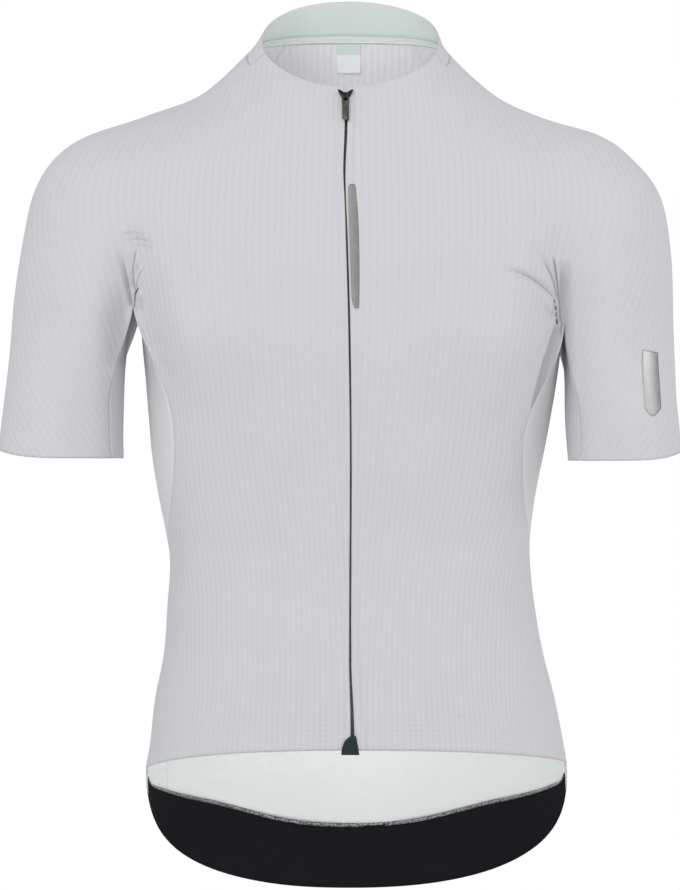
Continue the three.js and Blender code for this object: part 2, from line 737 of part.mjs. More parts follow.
const LABEL = { half: 10.7, top: 20.5, bottom: -3.5, strips: 4, rows: 4 };
const labelRows = steps(LABEL.top, LABEL.bottom, LABEL.rows).map((z) =>
  steps(-LABEL.half, LABEL.half, LABEL.strips).map((x) => {
    const base = backs[x < 0 ? "right" : "left"];
    const { row, column } = locate(base, x, z);
    return spot(base, row, column);
  }));
add("neck_label", laid("right", labelRows, -CLOTH - LAYER_GAP, -CLOTH - LAYER_GAP - TRIM), "label");

export default jersey;
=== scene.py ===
# A short-sleeved cycling jersey, filled out as if worn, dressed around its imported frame.
# X runs to the wearer's left, -Y is the front, Z is up. Sizes are in millimetres until a mesh is made.
import math

import bmesh
import bpy
import numpy as np
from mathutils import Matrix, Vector
from mathutils.bvhtree import BVHTree


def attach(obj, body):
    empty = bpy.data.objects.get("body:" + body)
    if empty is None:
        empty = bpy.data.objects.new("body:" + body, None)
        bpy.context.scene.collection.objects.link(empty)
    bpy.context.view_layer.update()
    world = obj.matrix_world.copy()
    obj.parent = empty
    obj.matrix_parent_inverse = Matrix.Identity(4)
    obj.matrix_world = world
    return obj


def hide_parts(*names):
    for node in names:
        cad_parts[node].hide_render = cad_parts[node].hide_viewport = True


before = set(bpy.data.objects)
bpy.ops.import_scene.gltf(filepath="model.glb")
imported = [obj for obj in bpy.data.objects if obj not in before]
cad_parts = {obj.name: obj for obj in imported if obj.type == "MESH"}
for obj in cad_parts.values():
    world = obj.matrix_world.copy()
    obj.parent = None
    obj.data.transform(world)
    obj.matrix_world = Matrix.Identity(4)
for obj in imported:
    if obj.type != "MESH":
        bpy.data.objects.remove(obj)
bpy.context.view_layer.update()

MM = 0.001
CLOTH = 0.9
BAND_THICKNESS = 1.1
SIDES = ("right", "left")
SIGN = {"right": -1, "left": 1}


# Forms of the garment

def table(columns, *rows):
    """Named columns of numbers, from one row for each section."""
    return dict(zip(columns.split(), np.array(rows, float).T))


# Rings from the neckline (step 0) through the collar's foot (step 1) to the armpits (step 8).
RINGS = table(
    "step right left side front front_z back back_z notch tilt",
    (0, 73, 76, 17, 64, -27.5, 62, 56, 0, 0),
    (1, 86, 85.5, 2.5, 70, -36, 70, 21.5, 0, 0),
    (2, 126, 122, -31, 86, -64, 86, -16, 0, 0),
    (3, 171, 160, -48.5, 98, -91, 100, -46, 0, 0),
    (4, 215, 208.5, -62.5, 106, -117, 109, -76, 0, 0.02),
    (5, 244.4, 238.5, -82, 111, -142, 114, -106, 0.02, 0.1),
    (6, 263, 261, -111, 115, -167, 117, -142, 0.08, 0.3),
    (7, 273.5, 271, -156, 117, -192, 118, -179, 0.2, 0.6),
    (8, 281, 272, -217.5, 118, -217.5, 118, -217.5, 0.36, 1),
)
ARMPIT_STEP = 8
LEAN = 0.042
ARMPIT = {"right": 178, "left": 177.5}
NOTCH_REACH = 26
ARMPIT_RISE = 10
ARMPIT_STANDOFF = 1.2

# Level sections of the body, by depth; the two seams are the side panel's edges in degrees.
BODY = table(
    "drop right left front back front_seam back_seam",
    (200, 182, 181, 117, 118, 63, 117),
    (242, 176.5, 181, 118, 115, 61, 120),
    (272, 172.2, 176, 116, 111, 59, 122),
    (302, 169, 169.3, 113, 106, 58, 124),
    (333, 165.6, 163.4, 109, 101, 59, 125),
    (373, 158.6, 155.6, 104, 96, 68, 126),
    (403, 153, 152, 101, 93, 82, 125),
    (424, 150.6, 152.6, 100, 93, 89, 124),
    (454, 152.4, 155.8, 100, 96, 91, 123),
    (494, 155.8, 163, 102, 103, 92, 121),
    (534, 162.4, 172.6, 104, 111, 93, 119),
    (575, 167.4, 181, 106, 117, 94, 117),
    (597, 171.5, 184, 107, 119, 94, 116),
    (640, 170.5, 183.5, 108, 121, 94, 116),
    (712, 166, 179, 108, 121, 94, 116),
)
BODY_ROUNDNESS = 2.25
BODY_SIDE_Y = 14
BODY_FADE = 95

# The hem, with a drop tail behind and a band that narrows to a tip at each side.
HEM_FRONT = -572
HEM_SIDE = {"right": -597, "left": -592}
HEM_BACK = -709
HEM_SQUARENESS = 0.7
REAR_BAND = table("turn height", (0, 5), (0.2, 22), (0.45, 42), (0.75, 58), (0.88, 60), (1, 55))

# Sleeve sections by depth: inner and outer edge from the centre plane, and depth front and back.
SLEEVES = {
    "right": table(
        "drop inner outer front back",
        (200, 179, 280.5, 62, 60),
        (232, 185, 283.9, 58, 58),
        (262, 187.6, 286.6, 55, 56),
        (300, 189, 290.4, 53, 54),
        (336, 189.2, 293.4, 52, 53),
    ),
    "left": table(
        "drop inner outer front back",
        (215, 178, 270.5, 62, 58),
        (245, 179.3, 271, 59, 56),
        (272, 180.5, 273, 56, 55),
        (305, 181.2, 275.8, 53, 54),
        (338, 182.4, 277.6, 51, 53),
    ),
}
SLEEVE_Y = {"left": -18, "right": -9}
SLEEVE_SEAM = {"top": 46, "cuff": 36}
SLEEVE_FADE = 85
CUFF_LOW = {"left": -336.5, "right": -334.5}
CUFF_RISE = 7.5
CUFF_CURL = 6

# The closed zip wanders to either side on its way down, and its slot opens and closes a little.
ZIP_LINE = table(
    "drop shift slot",
    (20, -3.6, 2.6),
    (60, -2.6, 2.4),
    (100, -4, 1.9),
    (125, -3.2, 1.2),
    (150, -2.2, 1.5),
    (230, 0, 1.7),
    (330, 1.2, 1.5),
    (500, 0.8, 1.8),
    (540, 2.2, 2.6),
    (580, 3.0, 3.5),
)
SLOT_SHARPNESS = 12


def follow(rows, key, at):
    """Every column of a table at each place, on smooth curves through its rows."""
    knots = rows[key]
    last = len(knots) - 1
    held = np.clip(at, knots[0], knots[-1])
    low = np.clip(np.searchsorted(knots, held) - 1, 0, last - 1)
    span = knots[low + 1] - knots[low]
    part = (held - knots[low]) / span
    before = np.maximum(np.arange(last + 1) - 1, 0)
    after = np.minimum(np.arange(last + 1) + 1, last)
    found = {}
    for name, values in rows.items():
        slopes = (values[after] - values[before]) / (knots[after] - knots[before])
        rise = values[low + 1] - values[low]
        bend = (1 - part) * slopes[low] - part * slopes[low + 1] + (2 * part - 1) * rise / span
        found[name] = values[low] + part * rise + part * (1 - part) * span * bend
    return found


def lerp(start, end, part):
    return start + (end - start) * part


def smooth(value, low, high):
    """0 below low and 1 above high, with soft ends."""
    part = np.clip((value - low) / (high - low), 0, 1)
    return part * part * (3 - 2 * part)


def stack(x, y, z):
    return np.stack(np.broadcast_arrays(x, y, z), axis=-1).astype(float)


def oval(angle, roundness):
    """How far across and how far forward a corner-softened oval's point is."""
    across = np.abs(np.sin(np.radians(angle))) ** (2 / roundness)
    forward = np.abs(np.cos(np.radians(angle))) ** (2 / roundness)
    return across, forward


def slot_edge(z, angle):
    """The zip slot's half width and its wander, which fade away from the centre front."""
    near = (1 + np.cos(np.radians(angle))) / 2
    line = follow(ZIP_LINE, "drop", -z)
    return line["slot"] / 2 * near, line["shift"] * near**SLOT_SHARPNESS


def split_angle(part, first, second):
    """Degrees from the centre front: part is 1 at the first seam, 2 at the second, 3 behind."""
    middle = lerp(first, second, part - 1)
    behind = lerp(second, 180, part - 2)
    return np.where(part < 1, part * first, np.where(part < 2, middle, behind))


def yoke_point(side, part, step):
    """Front for part 0 to 1, over the arm for 1 to 2, back for 2 to 3."""
    ring = follow(RINGS, "step", step)
    fold = math.degrees(math.asin(ARMPIT[side] / RINGS[side][-1]))
    angle = split_angle(part, fold, 180 - fold)
    turn = np.cos(np.radians(angle))
    lengthways = (ring["front_z"] - ring["back_z"]) / 2
    crown = (ring["front_z"] + ring["back_z"]) / 2 - ring["side"]
    height = ring["side"] + lengthways * turn + crown * turn * turn
    half, wander = slot_edge(height, angle)
    across = half + (ring[side] - half) * np.abs(np.sin(np.radians(angle)))
    pressed = 1 - ring["notch"] * np.exp(-(((across - ARMPIT[side]) / NOTCH_REACH) ** 2))
    y = -turn * np.where(turn > 0, ring["front"], ring["back"]) * pressed
    x = SIGN[side] * across
    return stack(x + wander, y, height - LEAN * ring["tilt"] * x)


def armpit_point(side, part, away):
    """The seam under the arm, from the front fold (part 0) to the back fold (part 1)."""
    front, back = (yoke_point(side, np.array(fold), np.array(ARMPIT_STEP)) for fold in (1, 2))
    part = np.clip(part, 0, 1)
    arch = np.sin(np.pi * part)
    x = lerp(front[0], back[0], part) + SIGN[side] * away * ARMPIT_STANDOFF * np.sqrt(np.abs(arch))
    return stack(x, lerp(front[1], back[1], part), lerp(front[2], back[2], part) + ARMPIT_RISE * arch)


def body_top(side, part):
    armpit = armpit_point(side, part - 1, -1)
    under = ((part >= 1) & (part <= 2))[..., None]
    return np.where(under, armpit, yoke_point(side, part, np.array(ARMPIT_STEP)))


def body_section(side, part, z):
    section = follow(BODY, "drop", -z)
    angle = split_angle(part, section["front_seam"], section["back_seam"])
    half, wander = slot_edge(z, angle)
    across, forward = oval(angle, BODY_ROUNDNESS)
    x = SIGN[side] * (half + (section[side] - half) * across) + wander
    before = -(section["front"] + BODY_SIDE_Y) * forward
    behind = (section["back"] - BODY_SIDE_Y) * forward
    return stack(x, np.where(angle < 90, before, behind) + BODY_SIDE_Y, z)


def hem_lines(side, part):
    """Heights of the hem and of the line a band's height above it."""
    section = follow(BODY, "drop", np.array(-HEM_SIDE[side]))
    angle = split_angle(part, section["front_seam"], section["back_seam"])
    forward = oval(angle, BODY_ROUNDNESS)[1]
    reach = np.where(angle > 90, forward**HEM_SQUARENESS, np.cos(np.radians(angle)))
    hem = lerp(HEM_SIDE[side], np.where(angle > 90, HEM_BACK, HEM_FRONT), reach)
    return hem, hem + follow(REAR_BAND, "turn", forward)["height"]


def body_point(side, part, row):
    """row counts from 0 at the armpits to 1 at the band's top and 2 at the hem."""
    top = body_top(side, part)
    top_z = top[..., 2]
    hem, band_top = hem_lines(side, part)
    z = np.where(row < 1, lerp(top_z, band_top, row), lerp(band_top, hem, row - 1))
    shift = top - body_section(side, part, top_z)
    faded = smooth(z, top_z - BODY_FADE, top_z)[..., None]
    return body_section(side, part, z) + shift * faded


def sleeve_top(side, part):
    under = armpit_point(side, 3 - part, 1)
    return np.where((part <= 2)[..., None], yoke_point(side, part, np.array(ARMPIT_STEP)), under)


def sleeve_section(side, part, z, along):
    section = follow(SLEEVES[side], "drop", -z)
    seam = lerp(SLEEVE_SEAM["top"], SLEEVE_SEAM["cuff"], along)
    angle = np.where(part <= 2, lerp(seam, 360 - seam, part - 1), lerp(-seam, seam, part - 2))
    middle = (section["inner"] + section["outer"]) / 2
    half = (section["outer"] - section["inner"]) / 2
    forward = np.sin(np.radians(angle))
    depth = np.where(forward > 0, section["front"], section["back"])
    x = SIGN[side] * (middle - half * np.cos(np.radians(angle)))
    return stack(x, SLEEVE_Y[side] - depth * forward, z)


def sleeve_point(side, part, row):
    """row counts from 0 at the yoke to 1 at the cuff, and part from 2 to 3 goes back under the arm."""
    top = sleeve_top(side, part)
    top_z = top[..., 2]
    low_z = np.array(CUFF_LOW[side], float)
    inner = SLEEVES[side]["inner"][-1]
    outer = SLEEVES[side]["outer"][-1]
    outward = (np.abs(sleeve_section(side, part, low_z, 1)[..., 0]) - inner) / (outer - inner)
    low = low_z + CUFF_RISE * np.clip(outward, 0, 1) ** CUFF_CURL
    z = lerp(top_z, low, row)
    shift = top - sleeve_section(side, part, top_z, 0)
    faded = smooth(z, top_z - SLEEVE_FADE, top_z)[..., None]
    return sleeve_section(side, part, z, row) + shift * faded


# Meshes

def steps(start, end, count):
    return np.linspace(start, end, count + 1)


def bunched(start, end, count, first=1.0, last=1.0):
    """Steps whose spacing at either end is a share of their mean."""
    part = steps(0, 1, count)
    near_start = (part**3 - 2 * part**2 + part) * first
    near_end = (part**3 - part**2) * last
    return lerp(start, end, near_start + smooth(part, 0, 1) + near_end)


def grid(side, place, parts, rows):
    """Rows of points downwards and columns away from the centre front."""
    return side, place(side, parts[None, :], rows[:, None])


WELD = 0.001


def welded(grids):
    """One surface from grids that share edges: points, four-sided faces and each grid's numbers."""
    everything = np.concatenate([points.reshape(-1, 3) for _, points in grids])
    keys = np.round(everything / WELD + math.pi).astype(np.int64)
    _, first, number = np.unique(keys, axis=0, return_index=True, return_inverse=True)
    number = number.ravel()
    faces = []
    numbers = []
    start = 0
    for side, points in grids:
        rows, columns = points.shape[:2]
        block = number[start:start + rows * columns].reshape(rows, columns)
        start += rows * columns
        corners = (block[:-1, :-1], block[:-1, 1:], block[1:, 1:], block[1:, :-1])
        ring = np.stack(corners, axis=-1).reshape(-1, 4)
        faces.append(ring if side == "right" else ring[:, ::-1])
        numbers.append(block)
    return everything[first], np.concatenate(faces), numbers


def normals_of(points, faces):
    a, b, c, d = (points[faces[:, k]] for k in range(4))
    across = np.cross(c - a, d - b)
    total = np.zeros_like(points)
    for k in range(4):
        np.add.at(total, faces[:, k], across)
    return total / np.maximum(np.linalg.norm(total, axis=1, keepdims=True), 1e-9)


def unit(vectors):
    return vectors / np.maximum(np.linalg.norm(vectors, axis=1, keepdims=True), 1e-9)


RIB_PITCH = 5.2
SOLVER_TURNS = 500


def ribs_along(points, faces, wanted):
    """Counts ribs over a surface so that they run square to the wanted ways, evenly spaced.

    The count at each point is the best fit to the wanted rise along every edge.
    """
    edges = np.concatenate([faces[:, [k, (k + 1) % 4]] for k in range(4)])
    edges = np.unique(np.sort(edges, axis=1), axis=0)
    one, two = edges[:, 0], edges[:, 1]
    rise = ((points[two] - points[one]) * (wanted[one] + wanted[two])).sum(axis=1) / 2 / RIB_PITCH
    size = len(points)

    def gathered(values):
        return np.bincount(two, values, size) - np.bincount(one, values, size)

    count = (points * wanted.mean(axis=0)).sum(axis=1) / RIB_PITCH
    left_over = gathered(rise - (count[two] - count[one]))
    way = left_over.copy()
    power = left_over @ left_over
    for _ in range(SOLVER_TURNS):
        pulled = gathered(way[two] - way[one])
        share = power / max(way @ pulled, 1e-12)
        count += share * way
        left_over -= share * pulled
        after = left_over @ left_over
        way = left_over + after / max(power, 1e-12) * way
        power = after
    return count


# The ribs fan with the garment's width: their pitch is true at RIB_HALF.
RIB_HALF = 172
RIB_SPREAD = table(
    "drop half",
    (0, 205), (118, 198), (217, 184), (286, 172), (424, 151.6), (494, 160), (575, 175), (720, 176),
)
SLEEVE_RIB_TURN = math.radians(33)


def rib_ways(form, side, points, normals):
    """The way across the ribs: level, fanned on the body, and turned on the sleeves.

    form is front for a panel with its sleeve, tube for one that wraps round, or flat for one behind.
    """
    mirror = np.array([SIGN[side] if form != "flat" else 1, 1, 1])
    place, normal = points * mirror, normals * mirror
    level = unit(np.array([1.0, 0, 0]) - normal * normal[:, :1])
    around = unit(stack(-normal[:, 1], normal[:, 0], 0 * normal[:, 0]))
    x, drop = place[:, 0], -place[:, 2]
    wrapped = {"front": smooth(x, 165, 235) * smooth(drop, 55, 120), "tube": 1 + 0 * x, "flat": 0 * x}[form]
    outward = smooth(x, 130, 215) * smooth(drop, 40, 170) * (form == "front")
    across = unit(level * (1 - wrapped[:, None]) + around * wrapped[:, None])
    angle = (SLEEVE_RIB_TURN * outward)[:, None]
    across = across * np.cos(angle) - np.cross(normal, across) * np.sin(angle)
    nearness = RIB_HALF / follow(RIB_SPREAD, "drop", drop)["half"]
    below = RIB_HALF / follow(RIB_SPREAD, "drop", drop + 1)["half"]
    fan = x * (nearness - below) * (1 - outward) * smooth(drop, 100, 240)
    across = across * nearness[:, None]
    across[:, 2] += fan
    return across * mirror


CREASES = table(
    "face x z bow_x bow_z end_x end_z width depth",
    # the wearer's right armpit
    (-1, -190, -160, -186, -180, -180.5, -197, 3.2, -2.4),
    (-1, -178, -161, -181, -178, -180, -196, 1.2, -1.7),
    (-1, -171.5, -173, -178, -182, -178.5, -196, 1.2, -1.8),
    (-1, -177.5, -190, -178, -198, -178, -206, 1.6, -2.2),
    (-1, -174, -200, -174.5, -207, -176, -214, 1.3, -1.2),
    (-1, -171, -199, -171.5, -206, -173, -214, 1.3, -0.9),
    (-1, -189.5, -152, -180, -146.5, -168, -152.5, 1.5, -0.7),
    (-1, -185, -156.5, -174, -151, -164, -157, 1.4, -0.8),
    (-1, -180, -160, -170, -158, -160, -163, 1.6, -0.6),
    (-1, -187, -157, -177, -149, -166, -155, 1.5, 0.5),
    (-1, -184.5, -168, -182.5, -182, -181, -194, 1.6, 1.0),
    (-1, -175, -176, -176, -184, -177, -190, 1.4, 0.9),
    (-1, -172, -212, -171, -240, -164, -276, 4.5, -1.4),
    # the wearer's left armpit
    (-1, 124, -179, 150, -181.5, 171, -204, 1.4, -1.5),
    (-1, 130, -184, 148, -186, 162, -197, 1.6, -0.7),
    (-1, 128, -176, 152, -178, 170, -198, 1.8, 0.7),
    (-1, 157, -170, 168, -183, 171.5, -203, 1.2, -1.7),
    (-1, 152, -166, 160, -168, 166, -178, 1.3, -0.7),
    (-1, 166, -166, 171.5, -184, 173.5, -206, 1.2, -1.9),
    (-1, 162, -168, 169, -184, 172.5, -202, 1.4, 0.9),
    (-1, 174, -170, 180, -188, 175, -211, 4.5, -2.4),
    (-1, 170, -204, 172.5, -214, 174, -224, 1.8, -2.4),
    (-1, 160, -208, 164, -214, 170, -218, 1.4, -0.8),
    (-1, 168, -226, 163, -240, 156, -254, 3.5, -1.8),
    # soft falls over the chest and the waist
    (-1, -150, -150, -128, -178, -122, -225, 15, -1.1),
    (-1, 150, -150, 126, -180, 118, -230, 15, -1.1),
    (-1, -96, -62, -120, -92, -150, -112, 13, -0.9),
    (-1, 92, -62, 118, -92, 150, -112, 13, -0.9),
    (-1, -138, -398, -96, -414, -52, -408, 12, -0.8),
    (-1, 140, -392, 98, -412, 56, -404, 12, -0.8),
    (-1, -120, -432, -84, -442, -50, -440, 10, -0.5),
    # the turn of each sleeve towards the body
    (-1, -207, -205, -208, -270, -203, -345, 11, 2.2),
    (-1, 199, -205, 200, -270, 197, -345, 10, 1.6),
    (-1, -232, -190, -236, -232, -228, -280, 12, -0.9),
    (-1, 236, -196, 240, -240, 232, -290, 12, -0.9),
    # behind: armpits, shoulder blades and the small of the back
    (1, -186, -164, -182, -184, -178, -204, 2.6, -2.2),
    (1, -176, -168, -177, -184, -176.5, -203, 1.4, -1.6),
    (1, -165, -178, -172, -190, -175, -208, 1.5, -1.5),
    (1, -140, -174, -158, -186, -172, -209, 2.2, -1.3),
    (1, -146, -188, -160, -198, -170, -214, 1.8, -0.8),
    (1, 187, -162, 181, -184, 178, -205, 2.6, -2.2),
    (1, 175, -170, 176, -187, 176, -205, 1.4, -1.7),
    (1, 162, -176, 170, -188, 174, -208, 1.5, -1.4),
    (1, 134, -180, 155, -190, 171, -213, 2.2, -1.4),
    (1, 144, -196, 158, -204, 168, -218, 1.8, -0.7),
    (1, -120, -120, -104, -170, -112, -226, 16, -1.4),
    (1, 118, -116, 100, -168, 108, -232, 16, -1.4),
    (1, -112, -402, -60, -420, -8, -410, 9, -1.3),
    (1, 18, -396, 66, -412, 118, -398, 9, -1.2),
    (1, -88, -438, -40, -449, 30, -442, 8, -0.9),
    (1, 40, -446, 78, -452, 112, -440, 8, -0.7),
    (1, -210, -210, -214, -265, -206, -330, 12, -1.1),
    (1, 208, -212, 214, -262, 205, -330, 12, -1.1),
    (1, -3, 0, -3.4, -16, -3, -34, 1.8, -0.7),
)
CREASE_SAMPLES = 12
TAPER = 0.3
SHARP = 2.2


def crease_lift(points):
    """How far the creases move each point out, along bowed lines, and how deep it lies in a sharp one, which
    sets how much painted shade it gets.
    """
    lift = np.zeros(len(points))
    shade = np.zeros(len(points))
    part = steps(0, 1, CREASE_SAMPLES)[:, None]
    for face, x, z, bow_x, bow_z, end_x, end_z, width, depth in zip(*CREASES.values()):
        bow = lerp(lerp(np.array([x, z]), np.array([bow_x, bow_z]), part),
                   lerp(np.array([bow_x, bow_z]), np.array([end_x, end_z]), part), part)
        flat = points[:, [0, 2]]
        reach = 3 * width
        near = (points[:, 1] * face > -25) & (flat > bow.min(axis=0) - reach).all(axis=1)
        near = np.nonzero(near & (flat < bow.max(axis=0) + reach).all(axis=1))[0]
        way = bow[1:] - bow[:-1]
        from_start = flat[near][:, None] - bow[None, :-1]
        along = np.clip((from_start * way).sum(axis=2) / (way * way).sum(axis=1), 0, 1)
        away = np.linalg.norm(from_start - along[..., None] * way, axis=2)
        nearest = away.argmin(axis=1)
        picked = np.arange(len(near)), nearest
        place = (nearest + along[picked]) / CREASE_SAMPLES
        strength = smooth(place, 0, TAPER) * (1 - smooth(place, 1 - TAPER / 3, 1.04))
        shape = np.exp(-((away[picked] / width) ** 2)) * strength
        lift[near] += depth * shape
        # a narrow trough also darkens the colour as painted shade
        if depth < 0 and width < SHARP:
            shade[near] = np.maximum(shade[near], shape * min(1, -depth))
    return lift, shade


# The turned facing beside the zip ends in a soft line, which spreads at the foot on the left.
FACING = table(
    "drop right left depth",
    (30, 5.0, 5.4, 0.1),
    (70, 6.2, 6.4, 0.5),
    (200, 6.0, 6.6, 0.35),
    (420, 5.6, 6.2, 0.35),
    (520, 5.8, 7.4, 0.6),
    (580, 6.8, 11.6, 0.8),
)
FACING_LINE_WIDTH = 1.0
FACING_SHADE = 0.45


def facing_lift(points):
    """The soft lines where the facings end, on each side of the zip, and how deep each point lies in them,
    which sets their painted shade.
    """
    near = (points[:, 1] < -40) & (np.abs(points[:, 0]) < 40)
    line = follow(ZIP_LINE, "drop", -points[:, 2])
    edge = follow(FACING, "drop", -points[:, 2])
    across = points[:, 0] - line["shift"]
    reach = np.where(across > 0, edge["left"], edge["right"])
    away = (np.abs(across) - reach) / FACING_LINE_WIDTH
    shape = np.exp(-away * away) * near
    return -edge["depth"] * shape, edge["depth"] * shape


def distance_to(points, line):
    """How far each point is from the nearest of a line's points."""
    found = np.full(len(points), np.inf)
    for start in range(0, len(line), 50):
        some = line[start:start + 50]
        found = np.minimum(found, np.linalg.norm(points[:, None] - some[None], axis=2).min(axis=1))
    return found


def mesh_object(name, points, faces, materials, marks=None):
    """A smooth mesh object in metres, with named values at its points."""
    data = bpy.data.meshes.new(name)
    data.from_pydata((np.asarray(points) * MM).tolist(), [], [list(face) for face in faces])
    for mark, values in (marks or {}).items():
        data.attributes.new(mark, "FLOAT", "POINT").data.foreach_set("value", np.asarray(values, np.float32))
    data.polygons.foreach_set("use_smooth", np.ones(len(data.polygons), bool))
    for material in materials:
        data.materials.append(material)
    data.validate()
    made = bpy.data.objects.new(name, data)
    bpy.context.scene.collection.objects.link(made)
    return made


def thickened(piece, thickness, rim=0, inside=0):
    """Gives a sheet its thickness inwards; rim and inside count on from its first material."""
    solid = piece.modifiers.new("thickness", "SOLIDIFY")
    solid.thickness = thickness * MM
    solid.offset = -1
    solid.material_offset = inside
    solid.material_offset_rim = rim
    return piece


def cloth_piece(name, node, materials, points, faces, marks, thickness=CLOTH):
    inside = len(materials) - 1
    piece = mesh_object(name, points, faces, materials, marks)
    thickened(piece, thickness, rim=0, inside=inside)
    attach(piece, "jersey")
    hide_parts(node)
    return piece


# Shader groups: each gives heights, masks or colours that change over the surface

def feed(tree, socket, value):
    if isinstance(value, bpy.types.NodeSocket):
        tree.links.new(value, socket)
    else:
        socket.default_value = value


def node(tree, kind, inputs=None, **settings):
    made = tree.nodes.new(kind)
    for name, value in settings.items():
        setattr(made, name, value)
    for socket, value in (inputs or {}).items():
        feed(tree, made.inputs[socket], value)
    return made


def maths(tree, operation, one, two=0.0, three=0.0):
    made = node(tree, "ShaderNodeMath", operation=operation)
    for socket, value in zip(made.inputs, (one, two, three)):
        feed(tree, socket, value)
    return made.outputs[0]


def mixed(tree, share, one, two):
    made = node(tree, "ShaderNodeMix", data_type="RGBA")
    feed(tree, made.inputs["Factor"], share)
    feed(tree, made.inputs["A"], one)
    feed(tree, made.inputs["B"], two)
    return made.outputs["Result"]


def eased(tree, value, low, high, start=0.0, end=1.0):
    """A soft step from start to end as the value goes from low to high."""
    inputs = {"Value": value, "From Min": low, "From Max": high, "To Min": start, "To Max": end}
    return node(tree, "ShaderNodeMapRange", inputs, interpolation_type="SMOOTHSTEP").outputs["Result"]


def noise(tree, scale, detail=2.0, place=None):
    made = node(tree, "ShaderNodeTexNoise", {"Scale": scale, "Detail": detail})
    tree.links.new(place or node(tree, "ShaderNodeTexCoord").outputs["Object"], made.inputs["Vector"])
    return made.outputs["Fac"]


def group(name, inputs, outputs, build):
    """A shader node group with named numbers in and out, filled in by build."""
    tree = bpy.data.node_groups.new(name, "ShaderNodeTree")
    for socket in inputs:
        tree.interface.new_socket(socket, in_out="INPUT", socket_type="NodeSocketFloat")
    for socket in outputs:
        tree.interface.new_socket(socket, in_out="OUTPUT", socket_type="NodeSocketFloat")
    given = tree.nodes.new("NodeGroupInput").outputs
    results = build(tree, given)
    last = tree.nodes.new("NodeGroupOutput")
    for socket, value in zip(outputs, results):
        feed(tree, last.inputs[socket], value)
    return tree


def build_ribs(tree, given):
    """Wide soft ribs with narrow grooves between them."""
    turned = maths(tree, "COSINE", maths(tree, "MULTIPLY", given["Count"], 2 * math.pi))
    valley = maths(tree, "MULTIPLY_ADD", turned, -0.5, 0.5)
    groove = maths(tree, "POWER", valley, given["Narrowness"])
    return maths(tree, "SUBTRACT", 1.0, groove), groove


def build_knit(tree, given):
    """Fine uneven stitches, and slow patches where the yarn lies denser."""
    fine = noise(tree, given["Stitches"], 3.0)
    slow = noise(tree, given["Patches"], 2.0)
    return fine, slow


def build_mesh_holes(tree, given):
    """Small round holes in staggered rows, over a level and an upright count of millimetres."""
    across = maths(tree, "DIVIDE", given["Across"], given["Pitch"])
    up = maths(tree, "DIVIDE", given["Up"], given["Pitch"])
    one = maths(tree, "COSINE", maths(tree, "MULTIPLY", maths(tree, "ADD", across, up), math.pi))
    two = maths(tree, "COSINE", maths(tree, "MULTIPLY", maths(tree, "SUBTRACT", across, up), math.pi))
    hole = maths(tree, "MULTIPLY", maths(tree, "MULTIPLY", one, one), maths(tree, "MULTIPLY", two, two))
    return (eased(tree, hole, 0.25, 0.7),)


def build_thread_lines(tree, given):
    """Fine parallel lines, such as a band's elastic or a tape's weave."""
    turned = maths(tree, "MULTIPLY", maths(tree, "DIVIDE", given["Across"], given["Pitch"]), 2 * math.pi)
    return (maths(tree, "MULTIPLY_ADD", maths(tree, "SINE", turned), 0.5, 0.5),)


def build_scuffs(tree, given):
    """Worn patches and fine scratches for metal and film."""
    patch = eased(tree, noise(tree, given["Patches"], 4.0), 0.45, 0.7)
    scratch = noise(tree, given["Scratches"], 5.0)
    return patch, scratch


def build_sharp_fold(tree, given):
    """A narrow bowed fold from Start to End, as a share, with its own width on either side."""
    place = maths(tree, "DIVIDE", maths(tree, "SUBTRACT", given["Along"], given["Start"]),
                  maths(tree, "SUBTRACT", given["End"], given["Start"]))
    rest = maths(tree, "SUBTRACT", 1.0, place)
    line = maths(tree, "MULTIPLY", maths(tree, "MULTIPLY", rest, rest), given["From"])
    bow_share = maths(tree, "MULTIPLY", maths(tree, "MULTIPLY", rest, place), 2.0)
    line = maths(tree, "MULTIPLY_ADD", bow_share, given["Bow"], line)
    line = maths(tree, "MULTIPLY_ADD", maths(tree, "MULTIPLY", place, place), given["To"], line)
    off = maths(tree, "SUBTRACT", given["Across"], line)
    beyond = maths(tree, "GREATER_THAN", off, 0.0)
    wider = maths(tree, "SUBTRACT", given["After"], given["Before"])
    width = maths(tree, "MULTIPLY_ADD", wider, beyond, given["Before"])
    share = eased(tree, maths(tree, "DIVIDE", maths(tree, "ABSOLUTE", off), width), 0.0, 1.0, 1.0, 0.0)
    starts = eased(tree, place, 0.0, given["Fade"])
    ends = eased(tree, place, 0.9, 1.0, 1.0, 0.0)
    return (maths(tree, "MULTIPLY", share, maths(tree, "MULTIPLY", starts, ends)),)


RIBS = group("ribs", ["Count", "Narrowness"], ["Height", "Groove"], build_ribs)
KNIT = group("knit", ["Stitches", "Patches"], ["Stitch", "Density"], build_knit)
MESH_HOLES = group("mesh_holes", ["Across", "Up", "Pitch"], ["Hole"], build_mesh_holes)
THREAD_LINES = group("thread_lines", ["Across", "Pitch"], ["Height"], build_thread_lines)
SHARP_FOLD = group(
    "sharp_fold", "Along Across Start End From Bow To Before After Fade".split(), ["Share"], build_sharp_fold)
SCUFFS = group("scuffs", ["Patches", "Scratches"], ["Patch", "Scratch"], build_scuffs)


def placed(tree, source, **inputs):
    made = tree.nodes.new("ShaderNodeGroup")
    made.node_tree = source
    for socket, value in inputs.items():
        feed(tree, made.inputs[socket], value)
    return made.outputs


def mark(tree, name):
    return node(tree, "ShaderNodeAttribute", attribute_name=name).outputs["Fac"]


